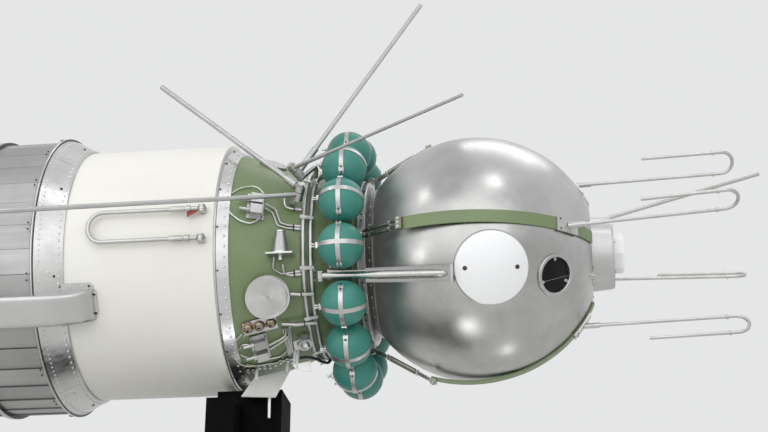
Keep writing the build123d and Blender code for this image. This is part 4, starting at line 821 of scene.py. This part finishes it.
class MODEL_OT_neck_fittings(bpy.types.Operator):
    """Rims and bolts where the sphere sits in its neck ring, and the small hardware of the strap tensioners"""

    bl_idname = "display_model.neck_fittings"
    bl_label = "Neck and tensioners"

    def execute(self, context):
        """The neck's rims and screws, then the bolts, nuts, threads and hooks of the four tensioners."""
        self.rims()
        self.tensioners()
        return {"FINISHED"}

    def rims(self):
        """Closed outlines of station and radius turned about the body axis, and bolts in rows round them."""
        low, high = np.radians(148.0), np.radians(142.6)
        edge = ((230.3, low), (231.7, low), (231.7, high), (230.3, high))
        rim = ring_band([(r * math.cos(a), r * math.sin(a)) for r, a in edge], RIM_SIDES)
        lip = flat_ring(-209.2, -207.4, 151.0, 158.6, RIM_SIDES)
        front = flat_ring(-197.2, -195.4, 146.0, 152.4, RIM_SIDES)
        add_piece("neck_rims", *merged(rim, lip, front), "wire", "satin_aluminium")
        pairs = np.concatenate([turns(15, 9.0), turns(15, 14.0)])
        fasteners("neck_bolts", [standing(SMALL_HEX, RING_STATION, RING_R, pairs)], "dark", "black_paint")
        single = turns(36, 1.0)
        fasteners("neck_screws", [
            on_ball(SMALL_RIVET, 231.7, lean(145.3, single), around(single)),
            standing(SMALL_RIVET, -199.3, RING_R, single + 3.0),
        ], "rod", "bright_steel")

    def tensioners(self):
        """At each strap's end: bolts on the clamp, nuts and threads on the two rods, and a hook at the lug."""
        bolts, nuts, threads, hooks = [], [], [], []
        nut, thread = collar(1.5, 2.4, 4.6, 6), collar(0.7, 1.2, 2.7, 10)
        parts = ((nuts, nut, (0.27, 0.75)), (threads, thread, (0.13, 0.16, 0.19, 0.22, 0.80, 0.84, 0.88)))
        lift = math.radians(STRAP_LIFT_ANGLE)
        bend = -STRAP_LIFT * np.array([math.cos(lift), math.sin(lift)])
        hook_turn = (np.linspace(-0.5, 1.25, 12) * np.pi)[:, None]
        for phi, end_angle in STRAPS:
            up, side = outward(phi), -around(phi)
            line = math.radians(end_angle)
            direction = np.array([math.cos(line), math.sin(line)])
            toward, reach = bend @ direction, STRAP_TOP_R + STRAP_LIFT
            end = direction * (toward + math.sqrt(toward**2 - STRAP_LIFT**2 + reach**2))
            rise = unit(end - bend)
            normal, forward = rise[0] * ALONG + rise[1] * up, rise[1] * ALONG - rise[0] * up
            clamp = CENTRE + MM * (end[0] * ALONG + end[1] * up + 4.0 * forward)
            for shift in (-7.6, 0.0, 7.6):
                bolts.append((HEX_BOLT, clamp + MM * (CLAMP_TOP * normal + shift * side), normal, forward))
            lug = place(LUG_STATION, LUG_TOP_R - TURNBUCKLE_BODY_R, phi)
            run = clamp + MM * 3.3 * normal - lug
            for sign in (-1.0, 1.0):
                start = lug + MM * sign * TURNBUCKLE_HALF * side
                for rows, shape, shares in parts:
                    rows += [(shape, start + run * share, run, side) for share in shares]
            hook = HOOK_R * (np.cos(hook_turn) * ALONG + np.sin(hook_turn) * up) + 5.0 * up
            hooks.append(tube(lug + MM * hook, 1.3, 8))
        fasteners("clamp_bolts", bolts, "wire", "bright_steel")
        fasteners("turnbuckle_nuts", nuts, "rod", "bright_steel")
        fasteners("turnbuckle_threads", threads, "dark", "black_paint")
        add_piece("tensioner_hooks", *merged(*hooks), "rod", "bright_steel")


# Bent tubes on the instrument cone: radius, then corners of station, phi and height
CONE_TUBES = (
    (2.0, ((-331, 22.4, 10), (-339, 18.8, 6), (-336, 13.6, 6), (-328, 12.7, 6), (-308, 12.9, 6))),
    (1.5, ((-375, 15, 8), (-371, 11.9, 6), (-374, 7.4, 6), (-383, 2.7, 5), (-395, 1, 4), (-412, 1.9, 4),
           (-429, 5.5, 2), (-437, 8.3, 3))),
    (1.3, ((-430, 17, 2.5), (-417, 21.1, 4), (-397, 24.2, 4), (-385, 23.5, 5), (-374, 19.1, 8))),
    (1.6, ((-349, -56, 5), (-349, -77.6, 3))),
    (1.6, ((-345, -56.3, 5), (-346.5, -77.2, 3))),
    (1.6, ((-341, -56.6, 5), (-344, -76.8, 3))),
    (1.6, ((-337, -56.9, 5), (-341.5, -76.3, 3))),
    (1.8, ((-377, -64.4, 6), (-351, -62.3, 5), (-345, -60.0, 5))),
    (1.8, ((-377, -67.4, 6), (-351, -64.3, 5), (-343, -61.8, 5))),
    (2.0, ((-338, -20.0, 8), (-338, -24.8, 3.5), (-328, -26.4, 3.0), (-308.4, -26.2, 3.2))),
    (1.5, ((-405, -60.5, 9), (-420, -59.5, 5), (-428, -62.5, 2))),
    (1.3, ((-437, -62, 5), (-431, -56.5, 4), (-418, -53.5, 6))),
    (1.5, ((-441, -66.5, 6), (-436, -71, 6), (-424, -74.5, 6), (-411, -75.8, 6))),
    (1.5, ((-405, -69.0, 9), (-422, -68.0, 5), (-429, -66.0, 2))),
)
HOSE = ((-340, -84, 5), (-321, -83, 9), (-303, -86.5, 15), (-297, -95, 15), (-290, -106, 15), (-283, -110, 6))
PLUGS = ((-426, -79.1), (-418, -80.8), (-405, -79.1), (-397, -80.4), (-388, -82.0), (-378, -81.4),
         (-368, -80.9), (-356, -81.6), (-350, -84.2))
DEFLECTOR_PIN = (-378.6, -60.0, -312.0), (-378.8, -60.0, -270.5)


class MODEL_OT_cone_fittings(bpy.types.Operator):
    """Tubes, hose, plugs, collars, screws and rims on the instrument cone, and the pin under the deflector"""

    bl_idname = "display_model.cone_fittings"
    bl_label = "Cone fittings"

    def execute(self, context):
        """Tubes and plugs, then the collars of the pipes, then screws and rims."""
        self.tubes()
        self.collars()
        self.screws()
        return {"FINISHED"}

    def tubes(self):
        """Tubes bent at their corners, a row of plugs square to the cone, and a straight pin."""
        tubes = [conduit(corners, radius) for radius, corners in CONE_TUBES]
        add_piece("cone_tubes", *merged(*tubes), "wire", "bright_steel")
        add_piece("hose", *conduit(HOSE, 2.8), "dark", "black_paint")
        station, phi = np.array(PLUGS).T
        plug = turned_shape([(-1.0, 3.9), (4.5, 3.9), (5.0, 3.0), (9.0, 3.0), (9.6, 2.0)], 12)
        ring = turned_shape([(-1.0, 5.4), (2.2, 5.4), (2.8, 4.4)], 6)
        fasteners("plugs", [seated(plug, CONE, station, phi)], "wire", "bright_steel")
        fasteners("plug_rings", [seated(ring, CONE, station, phi)], "dark", "black_paint")
        pin = tube(CENTRE + MM * np.linspace(*DEFLECTOR_PIN, 3), 2.5, 14)
        add_piece("deflector_pin", *pin, "bright_white", "white_paint")

    def collars(self):
        """Pairs of a bright sleeve and a dark band round each pipe, just behind the hoop it meets."""
        sleeve, band = collar(5.0, 0.6, 3.0, 12), collar(1.0, 0.6, 3.5, 12)
        wide_band = collar(1.2, 1.0, 4.9, 14)

        def round_pipe(shape, station, phi, height, heading):
            """A row round a pipe that leans at a heading from the nose direction."""
            return shape, above(CONE, station, phi, height), lean(heading, phi), around(phi)

        pipes = ((12.9, 6.0), (2.4, 2.8), (0.6, 2.8), (-24.4, 2.8), (-26.2, 3.2))
        bright = [round_pipe(sleeve, -314.5, *pipe, PIPE_SLOPE) for pipe in pipes]
        dark = [round_pipe(band, -320.5, *pipe, PIPE_SLOPE) for pipe in pipes]
        dark += [round_pipe(wide_band, -309.0, *pipe, -12.0) for pipe in ((-36.8, 14.0), (-54.5, 13.8))]
        fasteners("pipe_sleeves", bright, "rod", "bright_steel")
        fasteners("pipe_bands", dark, "dark", "black_paint")

    def screws(self):
        """Screws at the corners of the plates, rims of domes and pot, and clips that hold the hoops down."""
        corners = ((-360.6, -47.4), (-414.6, -48.6), (-361.2, -53.4), (-415.2, -54.8))
        rows = [seated(SMALL_HEX, CONE, station, phi, 5.0) for station, phi in corners]
        angle = np.radians(turns(8))
        station = TOP_COVER_STATION + 21.0 * np.cos(angle)
        phi = TOP_COVER_PHI + np.degrees(22.0 * np.sin(angle) / TOP_COVER_R)
        rows.append(seated(ROUND_SCREW, CONE, station, phi, 4.0))
        fasteners("plate_screws", rows, "rod", "bright_steel")
        points, faces = turned_shape([(-0.5, 10.9), (0.7, 10.9), (1.1, 10.4)], 28)
        turn = math.radians(-5.0)
        step = 21.0 * np.array([math.cos(turn), math.sin(turn), 0.0])
        rims = [seated((points + k * step, faces), CONE, -388.0, -51.2, 5.0) for k in (-1, 0, 1)]
        fasteners("dome_rims", rims, "brass", "brass")
        pot = seated(slab(25.0, 21.0, 2.2), CONE, -320.0, -65.0, 23.0)
        fasteners("pot_flange", [pot], "wire", "satin_aluminium")
        phis, clips = turns(12, 7.5), []
        for shape, height in ((slab(26.0, 7.0, 1.6), HOOP_TOP), (SMALL_HEX, HOOP_TOP + 1.6)):
            clips.append((shape, above(CONE, HOOP_STATION, phis, height), lean(HOOP_NORMAL, phis), ALONG))
        fasteners("hoop_clips", clips, "rod", "bright_steel")
        foot = ((-287.0, -24.1), (-287.0, -27.3), (-287.0, -30.4), (-258.0, -22.6))
        fasteners("mast_foot_bolts", [seated(HEX_BOLT, CONE, *spot) for spot in foot], "wire", "bright_steel")


class MODEL_OT_sphere_fittings(bpy.types.Operator):
    """Small hardware of the sphere: window clips, cover screws, stud, and screws of nose and brackets"""

    bl_idname = "display_model.sphere_fittings"
    bl_label = "Sphere fittings"

    def execute(self, context):
        """Shapes set on the sphere's own radius: centre + R*direction, with the normal along the direction."""
        self.window()
        cover = unit(np.array([(-12.0, -216.0, -103.0), (78.0, -204.0, -100.0)]))
        ring = turned_shape([(-0.3, 4.6), (0.35, 4.6), (0.55, 4.1)], 18)
        fasteners("cover_screw_rings", [on_ball(ring, COVER_R, cover)], "sheet", "pale_aluminium", "mast")
        screw = turned_shape([(-0.3, 3.7), (0.75, 3.7), (0.95, 3.0), (1.05, 1.0)], 16)
        fasteners("cover_screws", [on_ball(screw, COVER_R, cover)], "dark", "black_paint", "mast")
        flange = turned_shape([(-0.4, 6.2), (1.2, 6.2), (1.6, 5.6)], 18)
        stud = turned_shape([(0.8, 3.6), (5.5, 3.6), (6.2, 2.8)], 12)
        rows = [on_ball(shape, SPHERE_R, lean(25.0, -45.0), around(-45.0)) for shape in (flange, stud)]
        fasteners("nose_stud", rows, "wire", "bright_steel")
        rim = turns(6, 21.0)
        fasteners("nose_rim_screws", [
            (SMALL_HEX, place(NOSE_FLAT, 81.0, rim), ALONG, outward(rim)),
            (SMALL_HEX, place(252.0, 55.0, rim + 39.0), ALONG, outward(rim)),
        ], "dark", "black_paint")
        heads = []
        for phi, angle in ((-3.3, 43.9), (86.7, 36.6), (176.7, 39.1), (266.7, 36.1)):
            normal = lean(angle + 4.5, phi)
            for side in (-9.0, 9.0):
                spot = CENTRE + MM * (236.5 * normal + side * around(phi))
                heads.append((SMALL_RIVET, spot, normal, lean(angle + 94.5, phi)))
        fasteners("bracket_rivets", heads, "dark", "black_paint")
        return {"FINISHED"}

    def window(self):
        """Three clips inside the window's ring and one fine line across its glass."""
        axis, side = lean(PORT_ANGLE, PORT_PHI), lean(PORT_ANGLE + 90.0, PORT_PHI)
        glass = CENTRE + MM * (SPHERE_R - GLASS_DEPTH) * axis

        def rays(*angles):
            """Directions across the window, at angles in degrees."""
            turn = np.radians(angles)[:, None]
            return np.cos(turn) * side + np.sin(turn) * np.cross(axis, side)

        ring = rays(150.0, 20.0, 265.0)
        clips = [(slab(7.0, 5.0, 3.4), glass + MM * CLIP_R * ring, axis, ring)]
        fasteners("window_clips", clips, "sheet", "satin_aluminium")
        start, end = glass + MM * (FINE_LINE_R * rays(168.0, 18.0) + 0.3 * axis)
        add_piece("window_fine_line", *tube(np.linspace(start, end, 4), 0.35, 6), "sheet", "satin_aluminium")


class MODEL_OT_mast_fittings(bpy.types.Operator):
    """The open channel, end flange and tube of the mast, and the rim of its round cover with a dark ring under
    it as painted shadow
    """

    bl_idname = "display_model.mast_fittings"
    bl_label = "Mast channel"

    def execute(self, context):
        """A cross-section (across v, height h) carried along the mast: start + u*forward + v*side + h*up."""
        start, end = place(*MAST_PIVOT), place(*MAST_END)
        forward, side = unit(end - start), around(MAST_PHI)
        up = np.cross(forward, side)
        length = np.linalg.norm(end - start) / MM

        def along(u, v, h):
            """Points u along the mast, v across it and h out of it, in millimetres."""
            u, v, h = np.broadcast_arrays(u, v, h)
            return start + MM * (u[..., None] * forward + v[..., None] * side + h[..., None] * up)

        def strip(stations, across, height):
            """A closed section carried between two stations of the mast."""
            points = along(np.array(stations)[:, None], across, height)
            return upright(points.reshape(-1, 3), capped(2, len(height)))

        reach = length + MAST_REACH
        signs = np.array([-1, -1, -1, -1, 1, 1, 1, 1])
        across = signs * np.array([[12.5], [15.0]]) - signs * [0.0, 0.0, 0.9, 0.9, 0.9, 0.9, 0.0, 0.0]
        channel = strip((MAST_CHANNEL_START, reach), across, [-1.0, 9.4, 9.4, 6.9, 6.9, 9.4, 9.4, -1.0])
        # The channel takes the darker channel sheet, partly as painted shade beside the tube.
        add_piece("mast_channel", *channel, "channel", "bright_steel", "mast", 25.0)
        flange = strip((reach - 1.2, reach + 1.4), [-15.6, -15.6, 15.6, 15.6], [0.0, 11.6, 11.6, 0.0])
        add_piece("mast_end_flange", *flange, "wire", "bright_steel", "mast", 25.0)
        tip = length + MAST_TIP
        rise = [6, 40, 60, 75, 90, 105, 120, tip - 34, tip - 20, tip - 12, tip - 6, tip - 2, tip]
        lift = [0.7, 0.7, 1.0, 2.0, 3.6, 5.0, 5.8, 6.0, 6.0, 5.8, 5.4, 5.0, 4.6]
        width = [6.5, 6.5, 6.5, 6.8, 7.3, 7.7, 7.9, 8.0, 7.7, 6.9, 5.3, 3.0, 1.0]
        add_piece("mast_tube", *tube(along(rise, 0.0, lift), width, 24), "mast", "bright_steel", "mast", 50.0)
        about = CENTRE, lean(COVER_ANGLE, COVER_PHI), lean(COVER_ANGLE + 90.0, COVER_PHI)
        add_piece("cover_rim", *ring_band(COVER_RIM, 120, *about), "sheet", "pale_aluminium", "mast", 25.0)
        # Painted shadow: a thin dark ring tucked under the cover's rim.
        painted_shadow_ring = flat_ring(225.6, 226.6, 63.0, 65.9, 120, *about)
        add_piece("cover_painted_shadow_ring", *painted_shadow_ring, "dark", "black_paint", "mast", 25.0)
        return {"FINISHED"}


class MODEL_OT_antenna_fittings(bpy.types.Operator):
    """Sleeves and red tab of the loop antenna, rims and rings of the horn, and the turned disc's rim"""

    bl_idname = "display_model.antenna_fittings"
    bl_label = "Antenna fittings"

    def execute(self, context):
        """Sleeves about the loop's legs, a three-cornered tab, and outlines turned about horn and disc."""
        up, side = outward(LOOP_PHI), around(LOOP_PHI)
        profile = [(-13.0, 3.6), (-13.0, 5.0), (-12.0, 5.6), (12.0, 5.6), (13.0, 5.0), (13.0, 3.6)]
        sleeve, cuff = turned_shape(profile, 16), collar(4.0, 3.6, 6.4, 16)
        rows = []
        for sign in (-1.0, 1.0):
            leg = place(-518.0, LOOP_R, LOOP_PHI) + MM * sign * LOOP_LEG * side
            rows += [(sleeve, leg, -ALONG, up), (cuff, leg + MM * 20.0 * ALONG, -ALONG, up)]
        fasteners("loop_sleeves", rows, "rod", "bright_steel", "loop")
        station, shift = np.array([(-501.0, 25.0), (-476.5, 25.0), (-500.0, 12.0)]).T
        face = place(station, LOOP_R, LOOP_PHI) + MM * shift[:, None] * side
        tab = np.concatenate([face - MM * 0.5 * up, face + MM * 0.5 * up])
        faces = [[(2, 1, 0), (3, 4, 5)], [(0, 1, 4, 3), (1, 2, 5, 4), (2, 0, 3, 5)]]
        add_piece("loop_tab", tab, faces, "red", "olive_paint", "loop", 30.0)
        heading = around(HORN_HEADING)
        tip = above(CONE, HORN_STATION, HORN_PHI, 18.0) + MM * 42.6 * heading
        rim = flat_ring(0.0, 2.0, 6.0, 9.6, 32, tip, heading, ALONG)
        foot = flat_ring(0.0, 1.8, 15.5, 17.6, 40, tip - MM * 39.4 * heading, heading, ALONG)
        add_piece("horn_rims", *merged(rim, foot), "wire", "satin_aluminium")
        rise = np.linspace(1.0, 40.0, 80)
        ripple = 16.15 - 7.8 * rise / 41.0 + 0.3 * (1.0 - np.cos(2 * np.pi * rise / 3.0))
        rings = turned_shape(np.column_stack([rise, ripple]), 28)
        row = rings, tip - MM * 39.6 * heading, heading, ALONG
        fasteners("horn_rings", [row], "sheet", "satin_aluminium")
        edge = [(13.0, 37.0), (14.4, 37.4), (14.6, 38.4), (14.4, 39.8), (13.4, 40.4), (8.6, 40.4), (8.0, 39.0)]
        edge = ring_band(edge, 96, above(CONE, *DISC_AT), slope(CONE, *DISC_AT), ALONG)
        add_piece("disc_rim", *edge, "wire", "satin_aluminium")
        return {"FINISHED"}


class MODEL_OT_stage(bpy.types.Operator):
    """Set the floor, lamps, backdrop and camera"""

    bl_idname = "display_model.stage"
    bl_label = "Stage"

    def execute(self, context):
        """Each lamp: its direction from the sphere, its distance and size in metres, and its power."""
        levels = context.scene.studio_levels
        self.make_floor()
        self.make_world(levels.backdrop, levels.soft)
        self.make_lamp("ceiling_lamp", (0.20, 0.28, 0.94), 2.3, (1.4, 0.8), levels.key)
        self.make_lamp("front_lamp", (-0.12, -0.96, 0.16), 3.7, (6.0, 3.6), levels.fill)
        self.make_lamp("under_lamp", (-0.12, -0.19, -0.97), 1.0, (0.15, 0.15), levels.under)
        self.make_lamp("left_lamp", (-0.61, -0.47, 0.63), 3.0, (0.3, 0.3), levels.small)
        self.make_lamp("high_lamp", (0.24, -0.58, 0.78), 3.0, (0.3, 0.3), levels.small)
        self.make_lamp("low_left_lamp", (-0.78, -0.61, -0.13), 3.0, (0.25, 0.3), levels.small)
        self.make_lamp("low_right_lamp", (0.27, 0.32, -0.91), 1.0, (0.12, 0.12), 0.3 * levels.under)
        self.make_camera()
        context.scene.view_settings.view_transform = "Standard"
        return {"FINISHED"}

    def make_floor(self):
        """A flat round floor: rings of radius*(cos t, sin t, 0)."""
        turn = circle(FLOOR_SIDES)
        radii = np.array([0.001, 1.0, 3.0, 9.0, 30.0])[:, None]
        points = np.stack([radii * np.cos(turn), radii * np.sin(turn), 0.0 * radii * turn], -1)
        faces = grid_faces(len(radii), FLOOR_SIDES, wrap_columns=True)
        mesh = bpy.data.meshes.new("floor")
        mesh.from_pydata(points.reshape(-1, 3).tolist(), [], faces.tolist())
        mesh.update()
        material, tree, shader = new_material("floor_grey")
        shader.inputs["Roughness"].default_value = 0.7
        cloud = spread(tree, noise(tree, pattern(tree, origin=(0.0, 0.0, 0.0)), 3.0))
        tint = blended(tree, cloud, (0.62, 0.62, 0.61), (0.66, 0.66, 0.65))
        tree.links.new(tint, shader.inputs["Base Color"])
        mesh.materials.append(material)
        floor = bpy.data.objects.new("floor", mesh)
        bpy.context.scene.collection.objects.link(floor)

    def make_world(self, brightness, softness):
        """A pale backdrop for camera, glossy and transmission rays, and soft light for the rest."""
        world = bpy.data.worlds.new("studio")
        bpy.context.scene.world = world
        world.use_nodes = True
        tree = world.node_tree
        tree.nodes.clear()
        seen = add_node(tree, "Background", {"Color": (0.985, 0.99, 1.0), "Strength": brightness})
        soft = add_node(tree, "Background", {"Color": (1.0, 0.995, 0.985), "Strength": softness})
        rays = add_node(tree, "LightPath").outputs
        shown = rays["Is Camera Ray"]
        for ray in ("Is Glossy Ray", "Is Transmission Ray"):
            shown = math_node(tree, "MAXIMUM", shown, rays[ray])
        mix = add_node(tree, "MixShader", {0: shown, 1: soft.outputs[0], 2: seen.outputs[0]})
        add_node(tree, "OutputWorld", {"Surface": mix.outputs[0]})

    def make_lamp(self, name, direction, distance, sizes, power):
        """A rectangular area lamp in a direction from the sphere, facing it."""
        data = bpy.data.lights.new(name, "AREA")
        data.energy = power
        data.shape = "RECTANGLE"
        data.size, data.size_y = sizes
        lamp = bpy.data.objects.new(name, data)
        lamp.visible_camera = False
        bpy.context.scene.collection.objects.link(lamp)
        back = unit(np.array(direction))
        side = unit(np.cross([0.0, 0.0, 1.0] if abs(back[2]) < 0.85 else [0.0, 1.0, 0.0], back))
        lamp.matrix_world = axes(side, np.cross(back, side), back, CENTRE + distance * back)

    def make_camera(self):
        """The photograph's camera: low in front, looking up and a little to the left."""
        yaw, pitch = math.radians(6.826), math.radians(23.977)
        level = np.array([-math.sin(yaw), math.cos(yaw), 0.0])
        ahead = math.cos(pitch) * level + [0.0, 0.0, math.sin(pitch)]
        right = np.array([math.cos(yaw), math.sin(yaw), 0.0])
        data = bpy.data.cameras.new("camera")
        data.lens = 70.48
        data.sensor_width = 36.0
        camera = bpy.data.objects.new("camera", data)
        bpy.context.scene.collection.objects.link(camera)
        camera.matrix_world = axes(right, np.cross(right, ahead), -ahead, (0.5716, -2.6233, 0.0604))
        bpy.context.scene.camera = camera


OPERATORS = (
    MODEL_OT_stage,
    MODEL_OT_finishes,
    MODEL_OT_descent_skin,
    MODEL_OT_band_fasteners,
    MODEL_OT_duct_cover,
    MODEL_OT_bottle_fittings,
    MODEL_OT_neck_fittings,
    MODEL_OT_cone_fittings,
    MODEL_OT_sphere_fittings,
    MODEL_OT_mast_fittings,
    MODEL_OT_antenna_fittings,
)
GROUPS = {"model_colours": FinishColours, "studio_levels": StudioLevels}


class MODEL_PT_panel(bpy.types.Panel):
    """Lists the steps that build the model's looks"""

    bl_idname = "MODEL_PT_display_model"
    bl_label = "Display Model"
    bl_space_type = "VIEW_3D"
    bl_region_type = "UI"
    bl_category = "Display Model"

    def draw(self, context):
        """Every colour and level, then a button for each step."""
        for name, group in GROUPS.items():
            for key in group.__annotations__:
                self.layout.prop(getattr(context.scene, name), key)
        for operator in OPERATORS:
            self.layout.operator(operator.bl_idname)


def register():
    """Register every class, and give the scene its colours and levels."""
    for kind in (*GROUPS.values(), *OPERATORS, MODEL_PT_panel):
        bpy.utils.register_class(kind)
    for name, group in GROUPS.items():
        setattr(bpy.types.Scene, name, PointerProperty(type=group))


def unregister():
    """Take the scene's colours and levels and every class away again."""
    for name in GROUPS:
        delattr(bpy.types.Scene, name)
    for kind in reversed((*GROUPS.values(), *OPERATORS, MODEL_PT_panel)):
        bpy.utils.unregister_class(kind)


def main():
    register()
    bpy.ops.display_model.stage()
    bpy.ops.display_model.finishes()
    bpy.ops.display_model.descent_skin()
    bpy.ops.display_model.band_fasteners()
    bpy.ops.display_model.duct_cover()
    bpy.ops.display_model.bottle_fittings()
    bpy.ops.display_model.neck_fittings()
    bpy.ops.display_model.cone_fittings()
    bpy.ops.display_model.sphere_fittings()
    bpy.ops.display_model.mast_fittings()
    bpy.ops.display_model.antenna_fittings()


if __name__ == "__main__":
    main()
